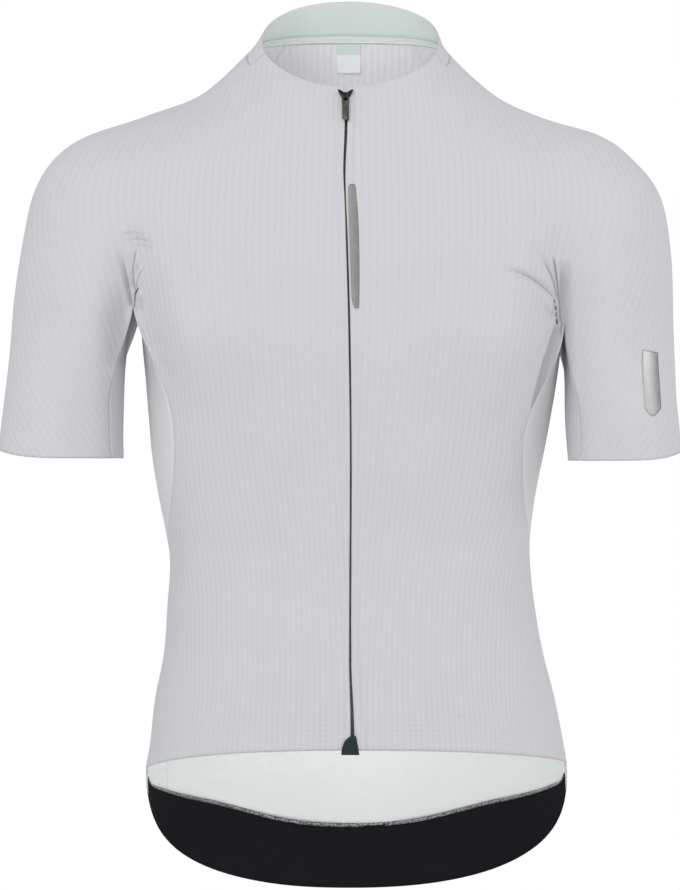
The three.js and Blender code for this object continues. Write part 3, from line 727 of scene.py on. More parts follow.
def material(name, colour, roughness, metallic=0.0, sheen=0.0):
    """A material, its node tree and its shader, with the even values on the shader's own sockets."""
    made = bpy.data.materials.new(name)
    made.use_nodes = True
    tree = made.node_tree
    shader = tree.nodes["Principled BSDF"]
    shader.inputs["Base Color"].default_value = colour
    shader.inputs["Roughness"].default_value = roughness
    shader.inputs["Metallic"].default_value = metallic
    shader.inputs["Sheen Weight"].default_value = sheen
    return made, tree, shader


def bumped(tree, shader, *layers):
    """Stacks bumps, each a height and its depth in millimetres, and feeds the shader's normal."""
    normal = None
    for height, depth in layers:
        bump = node(tree, "ShaderNodeBump", {"Height": height, "Distance": depth * MM})
        if normal is not None:
            tree.links.new(normal, bump.inputs["Normal"])
        normal = bump.outputs["Normal"]
    tree.links.new(normal, shader.inputs["Normal"])


def grey(level, red=0.0, blue=0.0):
    return (level + red, level, level + blue, 1.0)


STITCH_SCALE = 900
PATCH_SCALE = 16
RIB_DEPTH = 0.22
CLOTH_COLOUR = (0.665, 0.655, 0.69, 1.0)
# painted shade: the colour the rib grooves darken towards
GROOVE_SHADE_COLOUR = (0.60, 0.59, 0.625, 1.0)
# painted shade: the dark grey that soft creases and the facing lines darken towards, and how far at most
FOLD_SHADE_COLOUR = (0.16, 0.158, 0.17, 1.0)
FOLD_SHADE = 0.2
# painted shade: the near-black that the sharp armpit folds and shade bands darken towards
SHARP_FOLD_SHADE_COLOUR = (0.025, 0.025, 0.028, 1.0)
FOLD_BUMP = -0.7
LINING_COLOUR = (0.73, 0.79, 0.76, 1.0)


# Sharp folds and bands of painted shade in the armpits: a level one runs along x from start to end, the
# others along z, each bowed through from_, bow and to. before and after are the widths of its painted shade
# on either side, and shade is how far it darkens the colour.
SHARP_FOLDS = table(
    "level start end from_ bow to before after fade shade",
    # the wearer's right armpit
    (0, -160, -211, -187.5, -182.6, -178.4, 5.5, 1.1, 0.5, 0.42),
    # a broad band of painted shade over the inner side of the sleeve
    (0, -174, -262, -184, -190, -186, 22, 9, 0.5, 0.17),
    (0, -161, -184, -173.8, -177.8, -177.8, 1.4, 1.0, 0.25, 0.42),
    (0, -182.5, -198, -177.8, -177.4, -175.6, 1.2, 1.2, 0.2, 0.3),
    (0, -177.5, -195, -168.2, -176.4, -174.4, 1.0, 1.0, 0.15, 0.35),
    (0, -193.6, -199.8, -173.3, -175.3, -176.3, 1.4, 1.2, 0.15, 0.97),
    (0, -197, -213.5, -176.1, -176.4, -178.2, 1.3, 1.3, 0.15, 0.62),
    (1, -190, -167, -152, -144.5, -153.5, 0.9, 0.9, 0.4, 0.1),
    (1, -184, -163, -157, -151, -158, 0.9, 0.9, 0.4, 0.12),
    # the wearer's left armpit
    (1, 129, 169.5, -180.5, -183, -203.4, 1.1, 0.9, 0.5, 0.32),
    (0, -171.5, -202, 157.6, 169.3, 170.6, 0.9, 0.9, 0.2, 0.34),
    (0, -167, -223, 167.0, 173.0, 174.2, 1.5, 1.0, 0.15, 0.46),
    # a wide band of painted shade on the inner side of the sleeve, fading outwards
    (0, -167, -266, 173.4, 173.8, 177.0, 1.2, 14, 0.22, 0.32),
    (0, -171, -182, 179, 180.6, 182, 1.6, 1.4, 0.3, 0.12),
    (0, -203.2, -206.6, 168.2, 168.6, 169.0, 1.2, 1.1, 0.3, 0.7),
    (0, -208.4, -212.4, 169.8, 170.2, 170.4, 1.3, 1.2, 0.3, 0.85),
    (0, -213.8, -217.6, 170.3, 170.5, 170.6, 1.2, 1.2, 0.3, 0.85),
    (0, -218.6, -224, 170.9, 171.2, 171.5, 1.4, 1.5, 0.3, 0.95),
    (0, -200, -216, 169.8, 168.2, 167.0, 1.3, 1.3, 0.3, 0.18),
    # a wide band of painted shade over the side below the arm, where the sleeve keeps the light off
    (0, -221, -296, 171.5, 156.5, 150, 1.4, 17, 0.1, 0.36),
)
FRONT_HALF = 10


def sharp_fold_shade(tree):
    """How much painted shade each place of the front gets from the sharp folds and shade bands, all of them
    together; it also sets their shallow bump.
    """
    point = node(tree, "ShaderNodeSeparateXYZ",
                 {"Vector": node(tree, "ShaderNodeTexCoord").outputs["Object"]}).outputs
    x = maths(tree, "MULTIPLY", point["X"], 1 / MM)
    z = maths(tree, "MULTIPLY", point["Z"], 1 / MM)
    unshaded = 1.0
    for level, start, end, first, bow, last, before, after, fade, shade in zip(*SHARP_FOLDS.values()):
        along, across = (x, z) if level else (z, x)
        share = placed(tree, SHARP_FOLD, Along=along, Across=across, Start=start, End=end, From=first,
                       Bow=bow, To=last, Before=before, After=after, Fade=fade)["Share"]
        unshaded = maths(tree, "MULTIPLY", unshaded, maths(tree, "MULTIPLY_ADD", share, -shade, 1.0))
    front = maths(tree, "LESS_THAN", point["Y"], FRONT_HALF * MM)
    return maths(tree, "MULTIPLY", maths(tree, "SUBTRACT", 1.0, unshaded), front)


def ribbed_cloth():
    """The outside of the ribbed panels, with a faint grid over the bonded hem, and painted shade in the rib
    grooves, the creases and the armpit folds.
    """
    made, tree, shader = material("ribbed_cloth", CLOTH_COLOUR, 0.82, sheen=0.15)
    ribs = placed(tree, RIBS, Count=mark(tree, "rib"), Narrowness=2.6)
    knit = placed(tree, KNIT, Stitches=STITCH_SCALE, Patches=PATCH_SCALE)
    above = mark(tree, "above_hem")
    in_hem = eased(tree, above, 36, 39, 1.0, 0.0)
    courses = placed(tree, THREAD_LINES, Across=above, Pitch=4.2)["Height"]
    # painted shade in the rib grooves, weaker on the sleeves and patchy with the knit's density
    seen = maths(tree, "MULTIPLY_ADD", mark(tree, "on_sleeve"), -0.16, 0.36)
    patchy = maths(tree, "MULTIPLY_ADD", knit["Density"], 0.8, 0.6)
    groove = maths(tree, "MULTIPLY", ribs["Groove"], maths(tree, "MULTIPLY", seen, patchy))
    shaded = mixed(tree, groove, CLOTH_COLOUR, GROOVE_SHADE_COLOUR)
    dense = mixed(tree, maths(tree, "MULTIPLY", knit["Density"], 0.16), shaded, grey(0.52, 0.01, 0.03))
    seam = eased(tree, mark(tree, "from_seam"), 0.4, 1.6, 0.12, 0.0)
    seamed = mixed(tree, seam, dense, grey(0.4))
    # painted shade in the sharp creases and along the facing lines
    soft = mixed(tree, maths(tree, "MULTIPLY", mark(tree, "fold"), FOLD_SHADE), seamed, FOLD_SHADE_COLOUR)
    # painted shade: the sharp folds and shade bands darken the colour towards near-black, and give a shallow
    # bump
    sharp = sharp_fold_shade(tree)
    tree.links.new(mixed(tree, sharp, soft, SHARP_FOLD_SHADE_COLOUR), shader.inputs["Base Color"])
    hem_lines_height = maths(tree, "MULTIPLY", courses, in_hem)
    bumped(tree, shader, (ribs["Height"], RIB_DEPTH), (knit["Stitch"], 0.12), (hem_lines_height, 0.16),
           (sharp, FOLD_BUMP))
    return made


def side_knit():
    """The smoother, slightly greener side panels, with finer ribs."""
    colour = (0.735, 0.73, 0.745, 1.0)
    made, tree, shader = material("side_knit", colour, 0.84, sheen=0.15)
    fine_count = maths(tree, "MULTIPLY", mark(tree, "rib"), 2.5)
    ribs = placed(tree, RIBS, Count=fine_count, Narrowness=1.4)
    knit = placed(tree, KNIT, Stitches=STITCH_SCALE, Patches=PATCH_SCALE)
    dense = mixed(tree, maths(tree, "MULTIPLY", knit["Density"], 0.14), colour, grey(0.56, 0, 0.02))
    seam = eased(tree, mark(tree, "from_seam"), 0.4, 1.6, 0.1, 0.0)
    tree.links.new(mixed(tree, seam, dense, grey(0.42)), shader.inputs["Base Color"])
    bumped(tree, shader, (ribs["Height"], 0.09), (knit["Stitch"], 0.12))
    return made


def cloth_inside():
    """The wrong side of the cloth: lavender grey near the neck, pale mesh in the lower back, with painted
    shade in its rib grooves. The mesh is pale of its own, and made paler still as painted light for the light
    that shines through it.
    """
    colour = (0.86, 0.85, 0.88, 1.0)
    made, tree, shader = material("cloth_inside", colour, 0.88, sheen=0.1)
    ribs = placed(tree, RIBS, Count=mark(tree, "rib"), Narrowness=2.0)
    knit = placed(tree, KNIT, Stitches=STITCH_SCALE, Patches=PATCH_SCALE)
    lining = mark(tree, "lining")
    holes = placed(tree, MESH_HOLES, Across=mark(tree, "across"), Up=mark(tree, "up"), Pitch=2.4)["Hole"]
    # the mesh's own pale colour, raised as painted light for the light that shines through the thin mesh
    pale = mixed(tree, maths(tree, "MULTIPLY", holes, 0.22), (0.92, 0.96, 0.94, 1.0), (0.66, 0.74, 0.72, 1.0))
    # painted shade in the rib grooves
    groove = mixed(tree, maths(tree, "MULTIPLY", ribs["Groove"], 0.35), colour, grey(0.74, 0.0, 0.02))
    dense = mixed(tree, maths(tree, "MULTIPLY", knit["Density"], 0.12), groove, grey(0.7, 0, 0.03))
    tree.links.new(mixed(tree, lining, dense, pale), shader.inputs["Base Color"])
    plain = maths(tree, "SUBTRACT", 1.0, lining)
    bumped(tree, shader, (maths(tree, "MULTIPLY", ribs["Height"], plain), 0.25),
           (maths(tree, "MULTIPLY", holes, maths(tree, "MULTIPLY", lining, -1.0)), 0.25),
           (knit["Stitch"], 0.1))
    return made


def collar_lining():
    """The pale mint mesh inside the collar."""
    made, tree, shader = material("collar_lining", LINING_COLOUR, 0.85, sheen=0.1)
    knit = placed(tree, KNIT, Stitches=STITCH_SCALE, Patches=30)
    holes = placed(tree, MESH_HOLES, Across=mark(tree, "across"), Up=mark(tree, "up"), Pitch=1.9)["Hole"]
    holed = mixed(tree, maths(tree, "MULTIPLY", holes, 0.22), LINING_COLOUR, (0.55, 0.63, 0.61, 1.0))
    uneven = mixed(tree, maths(tree, "MULTIPLY", knit["Density"], 0.2), holed, (0.68, 0.76, 0.77, 1.0))
    tree.links.new(uneven, shader.inputs["Base Color"])
    bumped(tree, shader, (holes, -0.15), (knit["Stitch"], 0.1))
    return made


def smooth_tape(name, colour, shade, pitch, depth):
    """A narrow woven tape, its lines square to its length."""
    made, tree, shader = material(name, colour, 0.8, sheen=0.1)
    lines = placed(tree, THREAD_LINES, Across=mark(tree, "up"), Pitch=pitch)["Height"]
    knit = placed(tree, KNIT, Stitches=STITCH_SCALE, Patches=60)
    worn = mixed(tree, maths(tree, "MULTIPLY", knit["Density"], 0.3), colour, shade)
    tree.links.new(mixed(tree, maths(tree, "MULTIPLY", lines, 0.2), worn, shade), shader.inputs["Base Color"])
    bumped(tree, shader, (lines, depth), (knit["Stitch"], 0.06))
    return made


def elastic_band():
    """The black band of the rear hem, finely ribbed along its height."""
    colour = (0.0085, 0.008, 0.0115, 1.0)
    made, tree, shader = material("elastic_band", colour, 0.85)
    shader.inputs["Specular IOR Level"].default_value = 0.12
    ribs = placed(tree, RIBS, Count=maths(tree, "MULTIPLY", mark(tree, "rib"), 4.0), Narrowness=1.2)
    lines = placed(tree, THREAD_LINES, Across=mark(tree, "up"), Pitch=1.3)["Height"]
    knit = placed(tree, KNIT, Stitches=STITCH_SCALE, Patches=24)
    uneven = mixed(tree, maths(tree, "MULTIPLY", knit["Density"], 0.6), colour, (0.014, 0.013, 0.017, 1.0))
    tree.links.new(uneven, shader.inputs["Base Color"])
    bumped(tree, shader, (ribs["Height"], 0.1), (lines, 0.06), (knit["Stitch"], 0.08))
    return made


def worn_metal(name, colour, bright, roughness, metallic=1.0):
    """Dark plated metal, a little brighter and rougher where it is scuffed."""
    made, tree, shader = material(name, colour, roughness, metallic)
    scuffs = placed(tree, SCUFFS, Patches=420, Scratches=2600)
    tree.links.new(mixed(tree, scuffs["Patch"], colour, bright), shader.inputs["Base Color"])
    rough = maths(tree, "MULTIPLY_ADD", scuffs["Scratch"], 0.24, roughness - 0.1)
    tree.links.new(rough, shader.inputs["Roughness"])
    bumped(tree, shader, (scuffs["Scratch"], 0.03))
    return made


def garage_cloth():
    """The dark teal patch over the foot of the zip."""
    colour = (0.013, 0.0215, 0.023, 1.0)
    made, tree, shader = material("garage_cloth", colour, 0.62)
    shader.inputs["Specular IOR Level"].default_value = 0.25
    knit = placed(tree, KNIT, Stitches=1400, Patches=200)
    uneven = mixed(tree, maths(tree, "MULTIPLY", knit["Density"], 0.5), colour, (0.024, 0.034, 0.036, 1.0))
    tree.links.new(uneven, shader.inputs["Base Color"])
    bumped(tree, shader, (knit["Stitch"], 0.12))
    return made


def reflective_film(name, light, dark, roughness, metallic):
    """A plain silver film, with painted light and shade that darken it from one edge to the other, and a fine
    woven back.
    """
    made, tree, shader = material(name, light, roughness, metallic)
    scuffs = placed(tree, SCUFFS, Patches=150, Scratches=1800)
    lines = placed(tree, THREAD_LINES, Across=mark(tree, "up"), Pitch=1.1)["Height"]
    # painted light and shade across the film: lighter at one edge, darker at the other
    shaded = mixed(tree, eased(tree, mark(tree, "across"), 0.15, 1.0), light, dark)
    worn = mixed(tree, maths(tree, "MULTIPLY", scuffs["Patch"], 0.22), shaded, grey(0.42))
    tree.links.new(worn, shader.inputs["Base Color"])
    bumped(tree, shader, (lines, 0.05), (scuffs["Scratch"], 0.02))
    return made


def label_cloth():
    """A folded label: a mint band above a plain white part."""
    made, tree, shader = material("label_cloth", (0.84, 0.87, 0.86, 1.0), 0.6)
    band = eased(tree, mark(tree, "up"), 11.5, 12.2)
    tree.links.new(mixed(tree, band, (0.90, 0.93, 0.94, 1.0), (0.69, 0.80, 0.74, 1.0)),
                   shader.inputs["Base Color"])
    lines = placed(tree, THREAD_LINES, Across=mark(tree, "up"), Pitch=0.8)["Height"]
    bumped(tree, shader, (lines, 0.04))
    return made


def thread(name, colour, shade):
    made, tree, shader = material(name, colour, 0.6, sheen=0.2)
    knit = placed(tree, KNIT, Stitches=2500, Patches=700)
    tree.links.new(mixed(tree, eased(tree, knit["Density"], 0.4, 0.6), colour, shade),
                   shader.inputs["Base Color"])
    bumped(tree, shader, (knit["Stitch"], 0.08))
    return made


RIBBED = ribbed_cloth()
SIDE_KNIT = side_knit()
INSIDE = cloth_inside()
COLLAR_LINING = collar_lining()
BAND = elastic_band()
WHITE_TAPE = smooth_tape("white_tape", (0.88, 0.90, 0.89, 1.0), (0.72, 0.76, 0.75, 1.0), 1.6, 0.12)
BLUE_TAPE = smooth_tape("blue_tape", (0.62, 0.70, 0.70, 1.0), (0.56, 0.63, 0.64, 1.0), 1.2, 0.08)
MINT_TAPE = smooth_tape("mint_tape", (0.74, 0.83, 0.79, 1.0), (0.64, 0.73, 0.70, 1.0), 1.2, 0.08)
ZIP_TAPE = smooth_tape("zip_tape", (0.52, 0.52, 0.54, 1.0), (0.42, 0.42, 0.44, 1.0), 1.0, 0.1)
CHAIN = worn_metal("zip_chain", (0.085, 0.088, 0.072, 1.0), (0.17, 0.17, 0.145, 1.0), 0.45, metallic=0.3)
GUNMETAL = worn_metal("gunmetal", (0.035, 0.035, 0.032, 1.0), (0.10, 0.10, 0.09, 1.0), 0.42)
PULL_METAL = worn_metal("pull_metal", (0.075, 0.077, 0.066, 1.0), (0.16, 0.165, 0.125, 1.0), 0.45)
GARAGE_CLOTH = garage_cloth()
STRIP_FILM = reflective_film("strip_film", (0.30, 0.30, 0.288, 1.0), (0.22, 0.225, 0.212, 1.0), 0.5, 0.2)
TAB_FILM = reflective_film("tab_film", (0.56, 0.56, 0.56, 1.0), (0.22, 0.22, 0.22, 1.0), 0.42, 0.45)
LABEL_CLOTH = label_cloth()
PALE_THREAD = thread("pale_thread", (0.80, 0.79, 0.82, 1.0), (0.66, 0.66, 0.69, 1.0))
SPECKLED_THREAD = thread("speckled_thread", (0.30, 0.31, 0.31, 1.0), (0.04, 0.04, 0.045, 1.0))
SERGE_THREAD = thread("serge_thread", (0.78, 0.79, 0.78, 1.0), (0.10, 0.10, 0.105, 1.0))


# The cut and sewn pieces

COLLAR_END = 30
FRONT = bunched(0, 1, 96, 0.45, 0.4)
ARM = np.concatenate([bunched(1, 4 / 3, COLLAR_END, 0.5, 1.2), bunched(4 / 3, 2, 66, 1.1, 0.5)[1:]])
UNDER = steps(1, 2, 32)
BACK = bunched(2, 3, 66, 0.5, 1)
NECK_ROWS = steps(0, 1, 12)
YOKE_ROWS = bunched(1, ARMPIT_STEP, 92, 1, 0.45)
BODY_ROWS = bunched(0, 1, 112, 0.45, 1)
HEM_ROWS = steps(1, 2, 15)
SLEEVE_ROWS = bunched(0, 1, 46, 0.5, 1)
FAR = 400
LINING_TOP = -300
SEAM_DEPTH = 0.3
SEAM_WIDTH = 2.0
DRIFTS = table(
    "along_x along_y along_z start size",
    (0.061, 0.022, 0.037, 0.4, 0.34),
    (-0.043, 0.031, 0.058, 1.9, 0.28),
    (0.098, -0.027, -0.041, 3.1, 0.16),
    (0.021, 0.069, 0.083, 5.2, 0.18),
)


def soft_drift(points):
    """The slow unevenness of cloth that is held out only here and there."""
    lift = np.zeros(len(points))
    for along_x, along_y, along_z, start, size in zip(*DRIFTS.values()):
        lift += size * np.sin(points @ np.array([along_x, along_y, along_z]) + start)
    return lift


def around_back(place, first_part, rows):
    """One grid from the wearer's right round the back to the left, from a list of parts up to 3."""
    right = place("right", first_part[None, :], rows[:, None])
    left = place("left", first_part[::-1][None, 1:], rows[:, None])
    return "right", np.concatenate([right, left], axis=1)


def border(faces):
    """The edges that belong to one face only, as pairs of point numbers."""
    edges = np.concatenate([faces[:, [k, (k + 1) % 4]] for k in range(4)])
    _, first, uses = np.unique(np.sort(edges, axis=1), axis=0, return_index=True, return_counts=True)
    return edges[first[uses == 1]]


def cut_piece(name, cad_node, slot, materials, grids, form, side=None, open_edge=None, lining=False):
    """One panel: its creased surface, its ribs, and how far each point is from its seams and hem."""
    points, faces, numbers = welded(grids)
    normals = normals_of(points, faces)
    edge_points = points[np.unique(border(faces))]
    seams = edge_points if open_edge is None else edge_points[~open_edge(edge_points)]
    from_seam = distance_to(points, seams) if len(seams) else np.full(len(points), float(FAR))
    count = ribs_along(points, faces, rib_ways(form, side, points, normals))
    crease, crease_shade = crease_lift(points)
    facing, facing_shade = facing_lift(points)
    lift = crease + facing + soft_drift(points)
    lift -= SEAM_DEPTH * np.exp(-((from_seam / SEAM_WIDTH) ** 2))
    shaped = points + normals * lift[:, None]
    marks = {
        "rib": count,
        "from_seam": from_seam,
        # fold: painted shade for the sharp creases and along the facing lines
        "fold": np.clip(crease_shade + facing_shade * FACING_SHADE, 0, 1),
        "on_sleeve": smooth(np.abs(points[:, 0]), 150, 215) * smooth(-points[:, 2], 60, 190),
        "above_hem": np.full(len(points), float(FAR)),
        "lining": smooth(-points[:, 2], -LINING_TOP, 4 - LINING_TOP) * lining,
        "across": points[:, 0],
        "up": points[:, 2],
    }
    return name, cad_node, slot, materials, shaped, faces, marks, numbers


def finished(built, thickness=CLOTH):
    name, cad_node, slot, materials, points, faces, marks, _ = built
    return cloth_piece(name, cad_node, materials, points, faces, marks, thickness)


def free_edge(side):
    """Edges that show as cut edges and not as seams: the zip slot, the neckline, the hem and the cuff."""
    def found(points):
        at_slot = np.abs(points[:, 0]) < 9
        hem = points[:, 2] < HEM_SIDE[side] - 0.5
        front_hem = (points[:, 2] < HEM_FRONT) & (points[:, 1] < 0)
        cuff = (np.abs(points[:, 0]) > ARMPIT[side]) & (points[:, 2] < CUFF_LOW[side] + CUFF_RISE + 1)
        neck = points[:, 2] > -30
        return at_slot | hem | front_hem | cuff | neck
    return found


def declared(piece):
    """Hands the piece back as it is; it states no flat size."""
    return piece


panels = {}
pieces = {}
body_rows = np.concatenate([BODY_ROWS, HEM_ROWS[1:]])
for side in SIDES:
    to_collar = np.concatenate([FRONT, ARM[1:COLLAR_END + 1]])
    built = cut_piece(
        "front_panel_" + side, "front_" + side, "ribbed_cloth", [RIBBED, INSIDE],
        [
            grid(side, yoke_point, to_collar, NECK_ROWS),
            grid(side, yoke_point, np.concatenate([FRONT, ARM[1:]]), YOKE_ROWS),
            grid(side, body_point, FRONT, body_rows),
            grid(side, sleeve_point, ARM, SLEEVE_ROWS),
        ],
        "front", side, free_edge(side),
    )
    hem = hem_lines(side, FRONT)[0]
    body_numbers = built[-1][2]
    built[6]["above_hem"][body_numbers] = built[4][body_numbers][..., 2] - hem[None, :]
    panels["front_" + side] = built
    pieces["front_" + side] = finished(built)
    built = cut_piece(
        "side_panel_" + side, "side_" + side, "ribbed_cloth", [SIDE_KNIT, INSIDE],
        [grid(side, body_point, UNDER, BODY_ROWS)], "tube", side, lining=True,
    )
    pieces["side_" + side] = finished(built)
    built = cut_piece(
        "underarm_panel_" + side, "underarm_" + side, "ribbed_cloth", [RIBBED, INSIDE],
        [grid(side, sleeve_point, UNDER + 1, SLEEVE_ROWS)], "tube", side, free_edge(side),
    )
    pieces["underarm_" + side] = finished(built)

back_grids = [around_back(yoke_point, BACK, YOKE_ROWS), around_back(body_point, BACK, BODY_ROWS)]
panels["back"] = cut_piece(
    "back_panel", "back", "ribbed_cloth", [RIBBED, INSIDE], back_grids, "flat", lining=True,
)
pieces["back"] = finished(panels["back"])

COLLAR_FOOT = 24
collar_parts = np.concatenate([ARM[COLLAR_END:], BACK[1:]])
built = cut_piece(
    "collar_band", "collar", "ribbed_cloth", [RIBBED, COLLAR_LINING],
    [around_back(yoke_point, collar_parts, NECK_ROWS)], "flat",
    open_edge=lambda points: points[:, 2] > COLLAR_FOOT,
)
pieces["collar"] = finished(built)

band_parts = np.concatenate([UNDER, BACK[1:]])
built = cut_piece(
    "rear_hem_band", "back_hem_band", "elastic_band", [BAND, BAND],
    [around_back(body_point, band_parts, HEM_ROWS)], "flat",
)
pieces["band"] = finished(built, BAND_THICKNESS)


# The rear pockets

POCKET_TOP, POCKET_FOOT = 5 / 9, 17 / 18
POCKET_OUTER, POCKET_SEAM = 2 + 1 / 12, 2 + 7 / 12
POCKET_GAP = 0.0017
POCKET_MOUTH = 2.6
POCKET_PUFF = 1.1
POCKET_HEM = 12
POCKET_OFF = 0.4


def pocket(name, place):
    """A patch pocket: seamed to the back along three edges, with an open mouth that stands off a little."""
    built = cut_piece(name, name, "ribbed_cloth", [RIBBED, INSIDE], [("right", place)], "flat",
                      open_edge=lambda p: p[:, 2] > place[0, :, 2].min() - 1)
    points, faces, marks, numbers = built[4], built[5], built[6], built[7][0]
    down = steps(0, 1, place.shape[0] - 1)[:, None]
    over = np.sin(np.pi * steps(0, 1, place.shape[1] - 1))[None, :]
    drop = (place[0, :, 2] - place[..., 2])
    hem_line = np.exp(-(((drop - POCKET_HEM) / 0.9) ** 2))
    lift = POCKET_MOUTH * (1 - down) ** 2 * over + POCKET_PUFF * np.sin(np.pi * down) * over**0.6
    lift = lift - 0.35 * hem_line + POCKET_OFF + CLOTH
    marks["from_seam"][numbers] = np.minimum(marks["from_seam"][numbers], 0.7 + np.abs(drop - POCKET_HEM))
    raised = points.copy()
    raised[numbers] += normals_of(points, faces)[numbers] * lift[..., None]
    return finished(built[:4] + (raised,) + built[5:])


pocket_rows = steps(POCKET_TOP, POCKET_FOOT, 44)
outer_parts = steps(POCKET_OUTER, POCKET_SEAM - POCKET_GAP, 20)
inner_parts = steps(POCKET_SEAM + POCKET_GAP, 3, 17)
for side in SIDES:
    columns = outer_parts[None, ::-SIGN[side]]
    pieces["pocket_" + side] = pocket("pocket_" + side, body_point(side, columns, pocket_rows[:, None]))
pieces["pocket_centre"] = pocket("pocket_centre", around_back(body_point, inner_parts, pocket_rows)[1])


# The zip

def zip_track():
    """The zip's line from neckline to hem: points, the way down, and the way out of the cloth."""
    rows = [(yoke_point, NECK_ROWS), (yoke_point, YOKE_ROWS[1:]), (body_point, body_rows[1:])]
    edges = [np.concatenate([place(side, np.array(0.0), at) for place, at in rows]) for side in SIDES]
    middle = (edges[0] + edges[1]) / 2
    down = unit(np.gradient(middle, axis=0))
    return middle, down, unit(np.cross(down, [1.0, 0, 0]))


TRACK = zip_track()


def on_track(z):
    """The zip's point, way down and way out at each height."""
    middle, down, out = TRACK
    return [np.stack([np.interp(-z, -middle[:, 2], values[:, k]) for k in range(3)], axis=-1)
            for values in (middle, down, out)]


def strip_piece(name, material, place, marks, thickness, faces_back=False, replaced=None):
    """A laid or hanging strip, from rows and columns of points on its outer side."""
    points, faces, numbers = welded([("right" if faces_back else "left", place)])
    named = {}
    for key, values in marks.items():
        named[key] = np.zeros(len(points))
        named[key][numbers[0]] = values
    piece = mesh_object(name, points, faces, [material], named)
    thickened(piece, thickness)
    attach(piece, "jersey")
    if replaced:
        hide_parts(replaced)
    return piece


TAPE_INNER, TAPE_OUTER = 1.5, 11.8
TAPE_DEPTH = -1.5
TAPE_THICKNESS = 0.7
TAPE_TOP = -29.5
tape_z = steps(TAPE_TOP, TRACK[0][-1, 2] + 0.3, 230)
middle, down, out = on_track(tape_z)
for side in SIDES:
    reach = np.sort(SIGN[side] * steps(TAPE_INNER, TAPE_OUTER, 5))
    place = middle[:, None] + reach[None, :, None] * np.array([1.0, 0, 0]) + out[:, None] * TAPE_DEPTH
    marks = {"up": place[..., 2]}
    tape = strip_piece("zip_tape_cloth_" + side, ZIP_TAPE, place, marks, TAPE_THICKNESS,
                       replaced="zip_tape_" + side)
    declared(tape)

# Teeth from either side in turn, each a bevelled block with six sides, over a narrow woven core.
TOOTH = {
    "pitch": 0.78, "half": 0.95, "tall": 0.33, "shift": 0.5, "front": -0.95, "shoulder": -1.2, "back": -2.2,
}
CHAIN_TOP, CHAIN_FOOT = -46.2, -571.5
OUTLINE = np.array([(-1, 0), (-0.55, 1), (0.55, 1), (1, 0), (0.55, -1), (-0.55, -1)])


def chain():
    count = int((CHAIN_TOP - CHAIN_FOOT) / TOOTH["pitch"])
    middle, down, out = on_track(steps(CHAIN_TOP, CHAIN_FOOT, count))
    turn = np.where(np.arange(count + 1) % 2, 1, -1) * TOOTH["shift"]
    layers = ((TOOTH["front"], 0.72), (TOOTH["shoulder"], 1), (TOOTH["back"], 1))
    corners = []
    for depth, size in layers:
        for across, along in OUTLINE * size:
            sideways = (turn + across * TOOTH["half"])[:, None] * np.array([1.0, 0, 0])
            corners.append(middle + sideways + down * along * TOOTH["tall"] + out * depth)
    points = np.stack(corners, axis=1).reshape(-1, 3)
    sides = len(OUTLINE)
    around = [(k, (k + 1) % sides) for k in range(sides)]
    tooth = [tuple(range(sides))[::-1], tuple(range(2 * sides, 3 * sides))]
    tooth += [(low + a, low + b, low + sides + b, low + sides + a) for low in (0, sides) for a, b in around]
    faces = [tuple(corner + start for corner in face)
             for start in range(0, len(points), len(layers) * sides) for face in tooth]
    return points, faces


points, faces = chain()
teeth = mesh_object("zip_chain_teeth", points, faces, [CHAIN])
teeth.data.polygons.foreach_set("use_smooth", np.zeros(len(teeth.data.polygons), bool))
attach(teeth, "jersey")
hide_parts("zip_chain")
middle, down, out = on_track(steps(CHAIN_TOP, CHAIN_FOOT, 200))
core_reach = steps(-1.9, 1.9, 2)
core_depth = out[:, None] * (TOOTH["back"] + 0.2)
core = middle[:, None] + core_reach[None, :, None] * np.array([1.0, 0, 0]) + core_depth
strip_piece("zip_chain_core", CHAIN, core, {}, 0.3)


def rounded(name, node_name, material, body, width):
    """A hard part: its CAD form, with its flat faces joined and its edges rounded."""
    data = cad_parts[node_name].data.copy()
    made = bmesh.new()
    made.from_mesh(data)
    bmesh.ops.remove_doubles(made, verts=made.verts, dist=1e-5)
    bmesh.ops.dissolve_limit(made, angle_limit=math.radians(3), verts=made.verts, edges=made.edges)
    made.to_mesh(data)
    made.free()
    data.materials.clear()
    data.materials.append(material)
    piece = bpy.data.objects.new(name, data)
    bpy.context.scene.collection.objects.link(piece)
    bevel = piece.modifiers.new("rounded_edges", "BEVEL")
    bevel.width = width * MM
    bevel.segments = 3
    bevel.limit_method = "ANGLE"
    bevel.angle_limit = math.radians(25)
    bevel.harden_normals = True
    data.polygons.foreach_set("use_smooth", np.ones(len(data.polygons), bool))
    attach(piece, body)
    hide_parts(node_name)
    return piece


rounded("slider_body", "zip_slider", GUNMETAL, "jersey", 0.22)
rounded("pull_tab", "zip_pull", PULL_METAL, "pull", 0.25)
rounded("garage_patch", "zip_garage", GARAGE_CLOTH, "jersey", 0.3)


# Films and labels

def laid_on(panel, x, z, start_y, lift):
    """Points moved out from where lines going backwards meet a panel."""
    tree = BVHTree.FromPolygons(panel[4].tolist(), panel[5].tolist())
    way = Vector((0, 1, 0))
    found = np.empty((*x.shape, 3))
    for place in np.ndindex(*x.shape):
        hit, normal = tree.ray_cast(Vector((x[place], start_y, z[place])), way)[:2]
        facing = 1 if normal.dot(way) < 0 else -1
        found[place] = np.array(hit) + facing * lift * np.array(normal)
    return found


